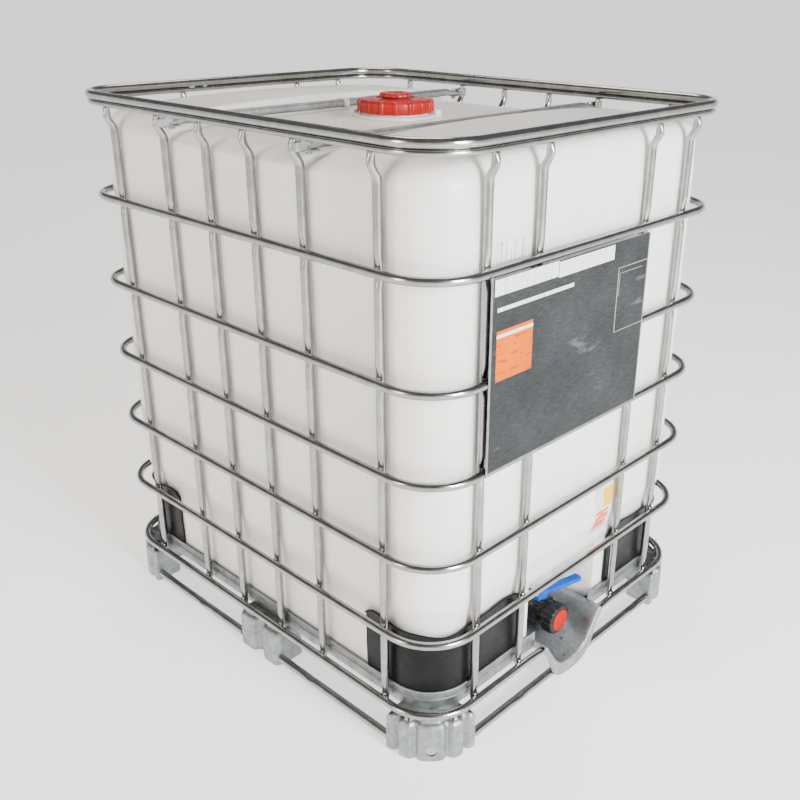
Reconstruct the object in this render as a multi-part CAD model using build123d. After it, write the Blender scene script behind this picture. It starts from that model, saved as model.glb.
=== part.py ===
"""Intermediate bulk container: a blow-moulded bottle in a welded tube cage on a steel-frame pallet.

Frame: millimetres, +Z up, floor at z = 0, origin at the middle of the footprint.
The outlet valve faces -Y.  The container is 1000 wide (X) and 1200 long (Y).
"""
from build123d import *
import math
import os

# ---- overall ----
HALF_X = 490.0            # centre line of the outer tube rings, half width
HALF_Y = 590.0            # and half length
RING_R = 115.0            # bend radius of the rings at the corners
TUBE_R = 9.0              # ring and upright tubes, outside radius
TUBE_WALL = 1.2
RAIL_Z = 117.0
RING_Z = (1072.2, 859.5, 670.9, 486.8, 300.6)
RIM_Z = 1305.0
RIM_R = 10.0
BEAD_R = 6.0
BEAD_Z = RIM_Z - RIM_R - BEAD_R
RAIL_GAP = 108.0          # half width of the rail's gap at the outlet

# ---- uprights ----
UPRIGHT_IN = 17.2         # upright axis inboard of the ring axis
KINK_OUT = 15.2           # how far the top is kinked back outwards
KINK_LOW = 1236.0
KINK_HIGH = 1262.0
UPRIGHT_BOTTOM = 110.0
UPRIGHT_TOP = BEAD_Z - BEAD_R
LONG_SIDE_Y = (-436.0, -228.5, -75.0, 75.0, 228.5, 436.0)
SHORT_SIDE_X = (-341.5, -187.0, 187.0, 341.5)

# ---- pallet ----
SHEET = 2.5
TRAY_SHEET = 2.0
TRAY_FLOOR = 108.0
TRAY_TOP = 150.0
TRAY_HALF_X = 462.0
TRAY_HALF_Y = 562.0
TRAY_R = 104.0
TROUGH_BACK = -330.0      # inner end of the drain trough under the outlet
RUNNER_R = 10.0
RUNNER_Z = 22.0
RUNNER_IN = 14.0          # runner axis inside the 1000 x 1200 outline
FOOT_REACH = 145.0        # corner foot's length along each side
FOOT_DEPTH = 75.0
FOOT_HOLE_R = 13.0
FOOT_HOLE_Z = 28.0

# ---- bottle ----
BOTTLE_X = 455.0
BOTTLE_Y = 555.0
BOTTLE_R = 97.0
BOTTLE_WALL = 3.0
BOTTLE_BOTTOM = TRAY_FLOOR + TRAY_SHEET
HUMP_Z = 1287.0
GROOVE_Z = 1258.0
SADDLE_Z = 1260.0
BAR_Y = 228.5
NICHE_X = 126.0
NICHE_Y = -440.0
NECK_R = 80.0
NECK_BORE = 73.0
NECK_TOP = 1292.0
SUMP_BOTTOM = 87.0

# ---- outlet valve ----
OUT_Z = 123.0
STEM_Y = -496.0
BORE_R = 25.0
THREAD_R = 29.75
MOUTH_Y = -545.0


def tube_section(plane, radius, wall):
    """Annular tube section on a plane."""
    return plane * (Circle(radius) - Circle(radius - wall))


def tube_along(path, radius, wall):
    """Hollow tube swept along a path."""
    start = Plane(origin=path @ 0, z_dir=path % 0)
    return sweep(tube_section(start, radius, wall), path=path)


def closed_ring(half_x, half_y, bend, z, radius, wall):
    """Tube bent into a closed rounded rectangle."""
    outline = RectangleRounded(2 * half_x, 2 * half_y, bend).face().outer_wire()
    return tube_along(outline.moved(Location((0, 0, z))), radius, wall)


def rounded_slab(half_x, half_y, bend, z0, z1):
    """Upright block with rounded vertical corners."""
    return Pos(0, 0, z0) * extrude(RectangleRounded(2 * half_x, 2 * half_y, bend), z1 - z0)


def box_between(x0, x1, y0, y1, z0, z1):
    """Box given by its two corners."""
    centre = Pos((x0 + x1) / 2, (y0 + y1) / 2, (z0 + z1) / 2)
    return centre * Box(x1 - x0, y1 - y0, z1 - z0)


def rod_z(radius, x, y, z0, z1):
    """Vertical rod."""
    return Pos(x, y, (z0 + z1) / 2) * Cylinder(radius, z1 - z0)


def rod_y(radius, y0, y1, x=0.0, z=OUT_Z):
    """Rod along Y on the outlet's axis."""
    return Pos(x, (y0 + y1) / 2, z) * Rot(90, 0, 0) * Cylinder(radius, abs(y1 - y0))


def tube_y(outer, inner, y0, y1, z=OUT_Z):
    """Sleeve along Y."""
    return rod_y(outer, y0, y1, z=z) - rod_y(inner, y0 - 1, y1 + 1, z=z)


def side_profile(points, half_width):
    """Polygon in the YZ plane, extruded both ways along X."""
    return extrude(Plane.YZ * make_face(Polyline(*points, close=True)), half_width, both=True)


def front_profile(points, half_length):
    """Polygon in the XZ plane, extruded both ways along Y."""
    return extrude(Plane.XZ * make_face(Polyline(*points, close=True)), half_length, both=True)


# ------------------------------------------------------------------ cage
def ring_cutters():
    """Solid bars on the rings' axes, used to notch the uprights where they cross."""
    bars = []
    for z in RING_Z + (RAIL_Z,):
        for side in (-1, 1):
            bars.append(Pos(side * HALF_X, 0, z) * Rot(90, 0, 0) * Cylinder(TUBE_R, 1100))
            bars.append(Pos(0, side * HALF_Y, z) * Rot(0, 90, 0) * Cylinder(TUBE_R, 900))
    return bars


def upright(turn, along):
    """One upright: straight tube, notched at every ring, top kinked outwards under the rim.

    turn is the side it stands on (degrees about Z from the -X side), along its place on it.
    """
    half = HALF_X if turn % 180 == 0 else HALF_Y
    inner = half - UPRIGHT_IN
    outer = inner + KINK_OUT
    line = FilletPolyline(
        (-inner, 0, UPRIGHT_BOTTOM),
        (-inner, 0, KINK_LOW),
        (-outer, 0, KINK_HIGH),
        (-outer, 0, UPRIGHT_TOP),
        radius=16,
    )
    return Rot(0, 0, turn) * (Pos(0, along, 0) * tube_along(line, TUBE_R, TUBE_WALL))


def upright_group(turn, places, cutters):
    """The uprights of one side of the cage."""
    group = []
    for along in places:
        bar = upright(turn, along)
        for cutter in cutters:
            bar = bar - cutter
        group.append(max(bar.solids(), key=lambda s: s.volume))
    return group


def bottom_rail():
    """Lowest tube: it lies on the feet and stops either side of the outlet."""
    line = FilletPolyline(
        (-RAIL_GAP, -HALF_Y, RAIL_Z),
        (-HALF_X, -HALF_Y, RAIL_Z),
        (-HALF_X, HALF_Y, RAIL_Z),
        (HALF_X, HALF_Y, RAIL_Z),
        (HALF_X, -HALF_Y, RAIL_Z),
        (RAIL_GAP, -HALF_Y, RAIL_Z),
        radius=RING_R,
    )
    return tube_along(line, TUBE_R, TUBE_WALL)


BAR_Z0 = 1261.0
BAR_Z1 = 1279.0
BAR_END = 466.0
BOLT_X = 452.0


def cross_bar(y):
    """Flattened tube that holds the bottle down, with a bolt hole near each end."""
    shape = box_between(-BAR_END, BAR_END, y - 15, y + 15, BAR_Z0, BAR_Z1)
    shape = fillet(shape.edges().filter_by(Axis.X), 6)
    inner = box_between(-BAR_END - 1, BAR_END + 1, y - 13, y + 13, BAR_Z0 + 2, BAR_Z1 - 2)
    shape = shape - fillet(inner.edges().filter_by(Axis.X), 4.5)
    for side in (-1, 1):
        shape = shape - rod_z(4.3, side * BOLT_X, y, BAR_Z0 - 1, BAR_Z1 + 1)
    return shape


def bar_brackets(posts):
    """Tabs welded to four uprights that the cross bars are bolted down to."""
    tabs = []
    for side in (-1, 1):
        for y in (-BAR_Y, BAR_Y):
            low = BAR_Z0 - 3
            tab = box_between(440, 484, y - 20, y + 20, low, BAR_Z0)
            wall = box_between(467, 484, y - 20, y + 20, BAR_Z0, BAR_Z1 + 3)
            tab = tab + (wall - box_between(466, 485, y - 17, y + 17, BAR_Z0 - 1, BAR_Z1 + 4))
            if side < 0:
                tab = mirror(tab, about=Plane.YZ)
            tab = tab - rod_z(4.3, side * BOLT_X, y, low - 1, BAR_Z0 + 1)
            for post in posts:
                tab = tab - post
            tabs.append(max(tab.solids(), key=lambda s: s.volume))
    return tabs


def solid_post(turn, along):
    """Full-section copy of an upright, used to notch what is welded to it."""
    half = HALF_X if turn % 180 == 0 else HALF_Y
    inner = half - UPRIGHT_IN
    outer = inner + KINK_OUT
    line = FilletPolyline(
        (-inner, 0, UPRIGHT_BOTTOM),
        (-inner, 0, KINK_LOW),
        (-outer, 0, KINK_HIGH),
        (-outer, 0, UPRIGHT_TOP + 20),
        radius=16,
    )
    start = Plane(origin=line @ 0, z_dir=line % 0)
    return Rot(0, 0, turn) * (Pos(0, along, 0) * sweep(start * Circle(TUBE_R + 0.05), path=line))


def bar_bolts():
    """Bolt and nut at each end of each cross bar."""
    bolts = []
    for side in (-1, 1):
        for y in (-BAR_Y, BAR_Y):
            x = side * BOLT_X
            shank = rod_z(4, x, y, BAR_Z0 - 9, BAR_Z1 + 1)
            head = Pos(x, y, BAR_Z1) * extrude(RegularPolygon(7.5, 6), 5)
            nut = Pos(x, y, BAR_Z0 - 9.5) * extrude(RegularPolygon(7.5, 6), 6.5)
            bolts.append(shank + head + nut)
    return bolts


def bar_strap():
    """Plastic clip that wraps the rear cross bar."""
    outer = box_between(33, 47, BAR_Y - 17, BAR_Y + 17, BAR_Z0 - 2, BAR_Z1 + 2)
    inner = box_between(32, 48, BAR_Y - 15.2, BAR_Y + 15.2, BAR_Z0 - 0.2, BAR_Z1 + 0.2)
    return outer - inner


# ------------------------------------------------------------------ pallet
def tray():
    """Shallow sheet pan that carries the bottle, cut away over the drain trough."""
    floor = rounded_slab(TRAY_HALF_X, TRAY_HALF_Y, TRAY_R, TRAY_FLOOR, TRAY_TOP)
    inner = rounded_slab(
        TRAY_HALF_X - TRAY_SHEET,
        TRAY_HALF_Y - TRAY_SHEET,
        TRAY_R - TRAY_SHEET,
        TRAY_FLOOR + TRAY_SHEET,
        TRAY_TOP + 1,
    )
    cut = box_between(-RAIL_GAP, RAIL_GAP, -TRAY_HALF_Y - 5, TROUGH_BACK, TRAY_FLOOR - 1, TRAY_TOP + 1)
    return floor - inner - cut


def corner_outline(inset):
    """Plan of a corner foot in the +X +Y quarter: a rounded corner with five flutes."""
    outer = RectangleRounded(2 * (492 - inset), 2 * (592 - inset), 110 - inset)
    window = Pos(500, 600) * Rectangle(
        2 * (FOOT_REACH - inset), 2 * (FOOT_REACH - inset)
    )
    hollow_x = 500 - FOOT_DEPTH + inset
    hollow_y = 600 - FOOT_DEPTH + inset
    plan = outer & window
    notch = Pos(hollow_x - 100, hollow_y - 100) * RectangleRounded(200 - 2 * inset, 200 - 2 * inset, 20)
    plan = plan - notch
    flute = 19 - inset
    plan = plan + Pos(480.5, 477) * Circle(flute)
    plan = plan + Pos(377, 580.5) * Circle(flute)
    for angle in (21.5, 68.5):
        a = math.radians(angle)
        plan = plan + Pos(382 + 100 * math.cos(a), 482 + 100 * math.sin(a)) * Circle(flute)
    lobe = Pos(382 + 101 * math.sqrt(0.5), 482 + 101 * math.sqrt(0.5)) * Rot(0, 0, 45)
    plan = plan + lobe * RectangleRounded(40 - 2 * inset, 56 - 2 * inset, 8 - inset)
    return plan


def corner_foot(sign_x, sign_y):
    """Pressed corner foot: fluted shell with a closed top and a hole in its middle flute."""
    shell = extrude(corner_outline(0.0), TRAY_FLOOR)
    hollow = Pos(0, 0, -1) * extrude(corner_outline(SHEET), TRAY_FLOOR - SHEET + 1)
    shell = shell - hollow
    d = math.sqrt(0.5)
    face = Plane(
        origin=(382 + 121 * d, 482 + 121 * d, FOOT_HOLE_Z),
        x_dir=(-d, d, 0),
        z_dir=(d, d, 0),
    )
    shell = shell - extrude(face * Circle(FOOT_HOLE_R), 12, both=True)
    if sign_x < 0:
        shell = mirror(shell, about=Plane.YZ)
    if sign_y < 0:
        shell = mirror(shell, about=Plane.XZ)
    return shell


def middle_outline(inset):
    """Plan of a side foot on the +X side: a straight foot with two broad flutes."""
    plan = Pos(455, 0) * Rectangle(74 - 2 * inset, 160 - 2 * inset)
    for y in (-46, 46):
        plan = plan + Pos(482, y) * RectangleRounded(35 - 2 * inset, 56 - 2 * inset, 12 - inset)
    return plan


def middle_foot(turn, shift):
    """Pressed foot halfway along a side."""
    shell = extrude(middle_outline(0.0), TRAY_FLOOR)
    shell = shell - Pos(0, 0, -1) * extrude(middle_outline(SHEET), TRAY_FLOOR - SHEET + 1)
    return Rot(0, 0, turn) * (Pos(shift, 0, 0) * shell)


def trough_face(y, half_top, top, half_low, low, wall):
    """Thin U section of the drain trough at one station."""
    points = (
        (-half_top, y, top),
        (-half_low, y, low),
        (half_low, y, low),
        (half_top, y, top),
        (half_top - wall, y, top),
        (half_low - wall, y, low + wall),
        (-half_low + wall, y, low + wall),
        (-half_top + wall, y, top),
    )
    return make_face(Polyline(*points, close=True))


def front_foot():
    """Saddle foot under the outlet: a trough that falls to the front, with a skirt to the floor."""
    low_back = SUMP_BOTTOM - 3
    back = trough_face(NICHE_Y, RAIL_GAP, 126, 98, low_back, SHEET)
    front = trough_face(-600, RAIL_GAP, 126, 46, RUNNER_Z + RUNNER_R + 0.2, SHEET)
    saddle = loft([back, front], ruled=True)
    channel = box_between(-RAIL_GAP, RAIL_GAP, NICHE_Y, TROUGH_BACK, low_back, BOTTLE_BOTTOM)
    channel = channel - box_between(
        -RAIL_GAP + SHEET, RAIL_GAP - SHEET, NICHE_Y - 1, TROUGH_BACK - SHEET, low_back + SHEET, 200
    )
    skirt = box_between(-46, 46, -600, -600 + SHEET, 0, RUNNER_Z + RUNNER_R + 1.5)
    foot = saddle + channel + skirt
    for y in (-540, -575):
        foot = foot - rod_z(5, 18 if y > -560 else -14, y, 20, 110)
    return foot


def runner_x(sign, x0, x1):
    """Base tube along X."""
    y = sign * (600 - RUNNER_IN)
    ring = Circle(RUNNER_R) - Circle(RUNNER_R - 1.5)
    return extrude(Plane(origin=(x0, y, RUNNER_Z), z_dir=(1, 0, 0)) * ring, x1 - x0)


def runner_y(sign, y0, y1):
    """Base tube along Y."""
    x = sign * (500 - RUNNER_IN)
    ring = Circle(RUNNER_R) - Circle(RUNNER_R - 1.5)
    return extrude(Plane(origin=(x, y0, RUNNER_Z), z_dir=(0, 1, 0)) * ring, y1 - y0)


# ------------------------------------------------------------------ bottle and guards
def bottle_block(t):
    """Outer form of the bottle, shrunk by t on every face."""
    block = rounded_slab(BOTTLE_X - t, BOTTLE_Y - t, BOTTLE_R - t, BOTTLE_BOTTOM + t, 1300)
    y = BOTTLE_Y + 5
    top = HUMP_Z - t
    roof = [(-y, 0), (y, 0), (y, 1238 - t), (524 - t, top), (272 + t, top), (254 + t, GROOVE_Z - t)]
    roof += [(204 - t, GROOVE_Z - t), (198 - t, SADDLE_Z - t)]
    roof += [(-198 + t, SADDLE_Z - t), (-204 + t, GROOVE_Z - t), (-254 - t, GROOVE_Z - t)]
    roof += [(-272 - t, top), (-524 + t, top), (-y, 1238 - t)]
    x = BOTTLE_X + 5
    gable = [(-x, 0), (x, 0), (x, 1228 - t), (405 - t, HUMP_Z + 3 - t), (-405 + t, HUMP_Z + 3 - t), (-x, 1228 - t)]
    block = block & side_profile(roof, BOTTLE_X + 20) & front_profile(gable, BOTTLE_Y + 20)
    sump = box_between(-80 + t, 80 - t, NICHE_Y + 1, -345 - t, SUMP_BOTTOM + t, BOTTLE_BOTTOM + 20)
    niche = [(-700, 0), (NICHE_Y + t, 0), (NICHE_Y + t, 250 + t), (-700, 317 + t)]
    return (block + sump) - side_profile(niche, NICHE_X + t)


def bottle_shell():
    """Hollow wall of the whole bottle, with a round hole on top for its neck."""
    return bottle_block(0.0) - bottle_block(BOTTLE_WALL) - rod_z(NECK_R, 0, 0, SADDLE_Z - 20, NECK_TOP + 1)


def inner_bottle():
    """Blow-moulded bottle behind the niche's back wall, with its outlet stub."""
    shell = bottle_shell() & box_between(-500, 500, NICHE_Y, 600, 0, 1400)
    return shell + rod_y(30, -462, NICHE_Y + 1) - rod_y(BORE_R, -470, NICHE_Y + 10)


def bottle_front(x0, x1):
    """Upright strip of the bottle in front of the niche's back wall, moulded in one with the rest."""
    return bottle_shell() & box_between(x0, x1, -600, NICHE_Y, 0, 1400)


def bottle_neck():
    """Neck of the bottle, moulded in one with it; it fills the round hole in the bottle's top."""
    return rod_z(NECK_R, 0, 0, SADDLE_Z - BOTTLE_WALL, NECK_TOP) - rod_z(NECK_BORE, 0, 0, SADDLE_Z - 20, NECK_TOP + 1)


def corner_guard(sign_x, sign_y):
    """Moulded guard wrapped round one lower corner of the bottle."""
    z0 = BOTTLE_BOTTOM
    z1 = 306.0
    plate = rounded_slab(459.5, 559.5, 101.5, z0, z1) - rounded_slab(456.5, 556.5, 98.5, z0 - 1, z1 + 1)
    plate = plate & box_between(178, 470, 362, 570, z0 - 1, z1 + 1)
    if sign_x < 0:
        plate = mirror(plate, about=Plane.YZ)
    if sign_y < 0:
        plate = mirror(plate, about=Plane.XZ)
    return plate


# ------------------------------------------------------------------ fill cap
CAP_LOW = 1272.0
CAP_TOP = 1303.0


def fill_cap():
    """Screw cap with gripping ribs and a hole for the vent plug."""
    cap = rod_z(87, 0, 0, CAP_LOW, CAP_TOP)
    for k in range(12):
        a = math.radians(30 * k)
        cap = cap + rod_z(12, 77 * math.cos(a), 77 * math.sin(a), CAP_LOW, CAP_TOP - 3)
    cap = cap - rod_z(NECK_R + 0.4, 0, 0, CAP_LOW - 1, NECK_TOP + 3)
    return cap - rod_z(28.4, 0, 0, CAP_LOW, CAP_TOP + 1)


def cap_gasket():
    """Flat ring between the neck and the cap."""
    return rod_z(79.5, 0, 0, NECK_TOP, NECK_TOP + 3) - rod_z(76, 0, 0, NECK_TOP - 1, NECK_TOP + 4)


def vent_plug():
    """Screw-in vent plug in the middle of the fill cap."""
    head = rod_z(38, 0, 0, CAP_TOP + 1.5, CAP_TOP + 11.5)
    for k in range(6):
        a = math.radians(60 * k)
        head = head - rod_z(4, 40 * math.cos(a), 40 * math.sin(a), CAP_TOP + 5, CAP_TOP + 12)
    stem = rod_z(28, 0, 0, CAP_TOP - 8, CAP_TOP + 2)
    return head + stem - rod_z(22, 0, 0, CAP_TOP - 9, CAP_TOP + 5)


def vent_seal():
    """Ring under the vent plug's head."""
    return rod_z(33, 0, 0, CAP_TOP, CAP_TOP + 1.5) - rod_z(28.5, 0, 0, CAP_TOP - 1, CAP_TOP + 2)


# ------------------------------------------------------------------ outlet valve
TOWER_TOP = 163.0


def valve_body():
    """Valve housing: flange, barrel, stem tower and threaded outlet."""
    body = rod_y(36, -472, -464) + rod_y(34, -520, -472) + rod_y(THREAD_R, MOUTH_Y, -520)
    body = body + rod_z(15, 0, STEM_Y, OUT_Z, TOWER_TOP)
    body = body - rod_y(BORE_R, MOUTH_Y - 1, -463) - rod_y(BORE_R + 1, MOUTH_Y - 1, MOUTH_Y + 20)
    body = body - rod_z(6.05, 0, STEM_Y, OUT_Z, TOWER_TOP + 1)
    body = body - rod_z(8.2, 0, STEM_Y, TOWER_TOP - 4, TOWER_TOP + 1)
    return body - rod_z(4.05, 0, STEM_Y, OUT_Z - BORE_R - 5.5, OUT_Z)


def union_nut():
    """Ribbed nut that clamps the valve to the bottle's outlet stub."""
    nut = rod_y(37, -477, -448)
    for k in range(16):
        a = math.radians(22.5 * k)
        rib = rod_y(2.5, -477, -448, x=36 * math.cos(a), z=OUT_Z + 36 * math.sin(a))
        nut = nut + rib
    return nut - rod_y(30.4, -464, -447) - rod_y(36.3, -478, -464) + tube_y(36.9, 34.2, -477, -473)


def valve_gasket():
    """Flat ring between the stub and the valve."""
    return tube_y(30, 25.5, -464, -462)


def valve_stem():
    """Spindle through the tower and the disc."""
    low = OUT_Z - BORE_R - 5.2
    return rod_z(4, 0, STEM_Y, low, OUT_Z - 18) + rod_z(6, 0, STEM_Y, OUT_Z - 18, 186)


def valve_disc():
    """Butterfly disc, closed across the bore at rest."""
    disc = rod_y(24.8, STEM_Y - 2.4, STEM_Y + 2.4)
    disc = disc + (rod_z(9, 0, STEM_Y, OUT_Z - 22, OUT_Z + 22))
    stem = rod_z(4, 0, STEM_Y, OUT_Z - 40, OUT_Z - 18) + rod_z(6, 0, STEM_Y, OUT_Z - 18, OUT_Z + 40)
    return disc - stem


def stem_seal():
    """Ring that seals the spindle at the top of the tower."""
    z0 = TOWER_TOP - 4
    return rod_z(8.1, 0, STEM_Y, z0, z0 + 3) - rod_z(6.05, 0, STEM_Y, z0 - 1, z0 + 4)


HUB_LOW = 164.0
HUB_TOP = 188.0


BLADE_TURN = 16.0


def lever_handle():
    """Quarter-turn lever: hub, blade set a little forward of square, and a guide for the lock tab."""
    blade = [(0, 172), (50, 171), (118, 175), (118, 187), (52, 184), (0, 184)]
    c = math.cos(math.radians(BLADE_TURN))
    d = math.sin(math.radians(BLADE_TURN))
    face = Plane(origin=(0, STEM_Y, 0), x_dir=(c, -d, 0), z_dir=(-d, -c, 0)) * make_face(
        Polyline(*blade, close=True)
    )
    lever = extrude(face, 13, both=True) + rod_z(17, 0, STEM_Y, HUB_LOW, HUB_TOP)
    guide = box_between(-25, -12, STEM_Y - 12, STEM_Y + 12, HUB_LOW + 1, 184)
    lever = lever + guide
    lever = lever - rod_z(6, 0, STEM_Y, HUB_LOW - 1, 186)
    lever = lever - rod_z(3, 0, STEM_Y, 185, HUB_TOP + 1)
    return lever - box_between(-22.3, -17.7, STEM_Y - 9.3, STEM_Y + 9.3, HUB_LOW - 2, 200)


def lever_screw():
    """Screw that holds the lever on the spindle."""
    return rod_z(6, 0, STEM_Y, HUB_TOP, HUB_TOP + 3) + rod_z(3, 0, STEM_Y, 186, HUB_TOP + 1)


def lock_tab():
    """Sliding tab that locks the lever."""
    tab = box_between(-22, -18, STEM_Y - 9, STEM_Y + 9, HUB_LOW, 191)
    return tab + box_between(-26, -16, STEM_Y - 10, STEM_Y + 10, 189, 193)


def outlet_cap():
    """Ribbed screw cap on the outlet, with a seat for a coloured disc."""
    rim = []
    for k in range(48):
        radius = 39.9 if k % 4 < 2 else 37.5
        a = math.radians(7.5 * k)
        rim.append((radius * math.cos(a), OUT_Z + radius * math.sin(a)))
    face = Plane(origin=(0, -523, 0), x_dir=(1, 0, 0), z_dir=(0, -1, 0)) * make_face(Polyline(*rim, close=True))
    cap = extrude(face, 34)
    return cap - rod_y(30.1, -547, -522) - rod_y(28.2, -558, -554)


def outlet_cap_disc():
    """Coloured disc in the face of the outlet cap."""
    return rod_y(28, -559, -554)


def outlet_gasket():
    """Ring between the outlet and its cap."""
    return tube_y(29.5, 25.5, -547, -545)


# ------------------------------------------------------------------ plates and labels
PLATE_Y = -599.0


def label_plate():
    """Sheet plate hung across the front of the cage."""
    return box_between(-355, 172, PLATE_Y - 0.7, PLATE_Y, 669, 1062.6)


def plate_labels():
    """Blank adhesive labels on the plate."""
    y0 = PLATE_Y - 1.0
    y1 = PLATE_Y - 0.7
    spots = ((-345, -155, 1030, 1061), (-153, 37, 1027, 1058), (-336, -228, 862, 960))
    return [box_between(x0, x1, y0, y1, z0, z1) for x0, x1, z0, z1 in spots]


def bottle_labels():
    """Blank adhesive labels on the bottle's front."""
    y0 = -BOTTLE_Y - 0.3
    spots = ((-306, -222, 1078, 1114), (98, 178, 302, 455))
    return [box_between(x0, x1, y0, -BOTTLE_Y, z0, z1) for x0, x1, z0, z1 in spots]


def build_parts():
    """Every piece of the container, by node name."""
    parts = {}
    parts["rim_tube"] = closed_ring(HALF_X, HALF_Y, RING_R, RIM_Z, RIM_R, 1.5)
    parts["rim_bead"] = closed_ring(HALF_X, HALF_Y, RING_R, BEAD_Z, BEAD_R, 1.2)
    for k, z in enumerate(RING_Z):
        parts[f"cage_ring_{k + 1}"] = closed_ring(HALF_X, HALF_Y, RING_R, z, TUBE_R, TUBE_WALL)
    parts["bottom_rail"] = bottom_rail()
    cutters = ring_cutters()
    for name, turn, places in (
        ("uprights_left", 0, LONG_SIDE_Y),
        ("uprights_right", 180, LONG_SIDE_Y),
        ("uprights_front", 90, SHORT_SIDE_X),
        ("uprights_back", 270, SHORT_SIDE_X),
    ):
        parts[name] = upright_group(turn, places, cutters)
    posts = [solid_post(turn, y) for turn in (0, 180) for y in (-BAR_Y, BAR_Y)]
    parts["cross_bar_front"] = cross_bar(-BAR_Y)
    parts["cross_bar_back"] = cross_bar(BAR_Y)
    parts["bar_brackets"] = bar_brackets(posts)
    parts["bar_bolts"] = bar_bolts()
    parts["bar_strap"] = bar_strap()
    parts["tray"] = tray()
    for name, sx, sy in (
        ("front_left", -1, -1),
        ("front_right", 1, -1),
        ("back_left", -1, 1),
        ("back_right", 1, 1),
    ):
        parts[f"foot_{name}"] = corner_foot(sx, sy)
        parts[f"guard_{name}"] = corner_guard(sx, sy)
    parts["foot_middle_right"] = middle_foot(0, 0)
    parts["foot_middle_left"] = middle_foot(180, 0)
    parts["foot_middle_back"] = middle_foot(90, 100)
    parts["foot_outlet"] = front_foot()
    end_x = 500 - FOOT_REACH
    end_y = 600 - FOOT_REACH
    parts["runner_left"] = [runner_y(-1, -end_y, -80), runner_y(-1, 80, end_y)]
    parts["runner_right"] = [runner_y(1, -end_y, -80), runner_y(1, 80, end_y)]
    parts["runner_front"] = runner_x(-1, -end_x, end_x)
    parts["runner_back"] = [runner_x(1, -end_x, -80), runner_x(1, 80, end_x)]
    parts["inner_bottle"] = inner_bottle()
    parts["bottle_front_left"] = bottle_front(-500, -NICHE_X)
    parts["bottle_front_middle"] = bottle_front(-NICHE_X, NICHE_X)
    parts["bottle_front_right"] = bottle_front(NICHE_X, 500)
    parts["bottle_neck"] = bottle_neck()
    parts["fill_cap"] = fill_cap()
    parts["cap_gasket"] = cap_gasket()
    parts["vent_plug"] = vent_plug()
    parts["vent_seal"] = vent_seal()
    parts["valve_body"] = valve_body()
    parts["union_nut"] = union_nut()
    parts["valve_gasket"] = valve_gasket()
    parts["valve_stem"] = valve_stem()
    parts["valve_disc"] = valve_disc()
    parts["stem_seal"] = stem_seal()
    parts["lever_handle"] = lever_handle()
    parts["lever_screw"] = lever_screw()
    parts["lock_tab"] = lock_tab()
    parts["outlet_cap"] = outlet_cap()
    parts["outlet_cap_disc"] = outlet_cap_disc()
    parts["outlet_gasket"] = outlet_gasket()
    parts["label_plate"] = label_plate()
    parts["plate_labels"] = plate_labels()
    parts["bottle_labels"] = bottle_labels()
    return parts


def main():
    """Write one STEP file per piece."""
    os.makedirs("parts", exist_ok=True)
    for name, shape in build_parts().items():
        solids = shape if isinstance(shape, list) else shape.solids()
        flat = []
        for item in solids:
            flat.extend(item.solids())
        whole = flat[0] if len(flat) == 1 else Compound(children=flat)
        export_step(whole, f"parts/{name}.step")
        print(name, len(flat), round(sum(s.volume for s in flat)))


main()
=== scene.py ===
"""Looks of an intermediate bulk container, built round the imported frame. Lengths are in millimetres."""
import math

import bmesh
import bpy
from mathutils import Matrix, Vector, noise


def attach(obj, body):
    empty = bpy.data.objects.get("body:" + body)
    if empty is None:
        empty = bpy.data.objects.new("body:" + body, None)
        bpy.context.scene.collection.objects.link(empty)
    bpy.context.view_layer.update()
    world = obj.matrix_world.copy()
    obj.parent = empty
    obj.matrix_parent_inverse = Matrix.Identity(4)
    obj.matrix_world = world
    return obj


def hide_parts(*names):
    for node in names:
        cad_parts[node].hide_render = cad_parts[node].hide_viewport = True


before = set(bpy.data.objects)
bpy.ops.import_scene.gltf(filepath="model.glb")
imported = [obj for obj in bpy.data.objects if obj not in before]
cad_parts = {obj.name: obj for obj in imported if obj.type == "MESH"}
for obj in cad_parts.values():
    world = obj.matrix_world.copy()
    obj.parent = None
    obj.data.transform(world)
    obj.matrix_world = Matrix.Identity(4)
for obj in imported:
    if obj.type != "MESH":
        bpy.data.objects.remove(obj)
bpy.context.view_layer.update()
MM = 0.001

# ---- levels and outlines shared by many pieces ----
HALF_X = 490.0
HALF_Y = 590.0
RING_R = 115.0
TUBE_R = 9.0
RAIL_Z = 117.0
RING_Z = (1072.2, 859.5, 670.9, 486.8, 300.6)
RIM_Z = 1305.0
BEAD_Z = 1289.0
UPRIGHT_IN = 14.6
LONG_SIDE_Y = (-436.0, -228.5, -75.0, 75.0, 228.5, 436.0)
SHORT_SIDE_X = (-341.5, -187.0, 187.0, 341.5)
BAR_Y = 228.5
BAR_Z = 1270.0
BAR_END_X = 452.0
CLIP_Z = 1268.0
RUNNER_Z = 22.0
RUNNER_R = 10.0
HOLE_R = 13.0
HOLE_Z = 28.0
OUT_Z = 123.0
STEM_Y = -496.0
BLADE_TURN = 16.0


# ------------------------------------------------------------------ mesh tools
def ease(a, b, value):
    """0 below a, 1 above b, smooth between."""
    t = min(max((value - a) / (b - a), 0.0), 1.0)
    return t * t * (3 - 2 * t)


def bump(distance, flat, reach):
    """1 within flat of the middle, 0 beyond reach, smooth between."""
    return 1 - ease(flat, reach, abs(distance))


def steps(a, b, count):
    """count + 1 evenly spaced values from a to b."""
    return [a + (b - a) * k / count for k in range(count + 1)]


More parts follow.
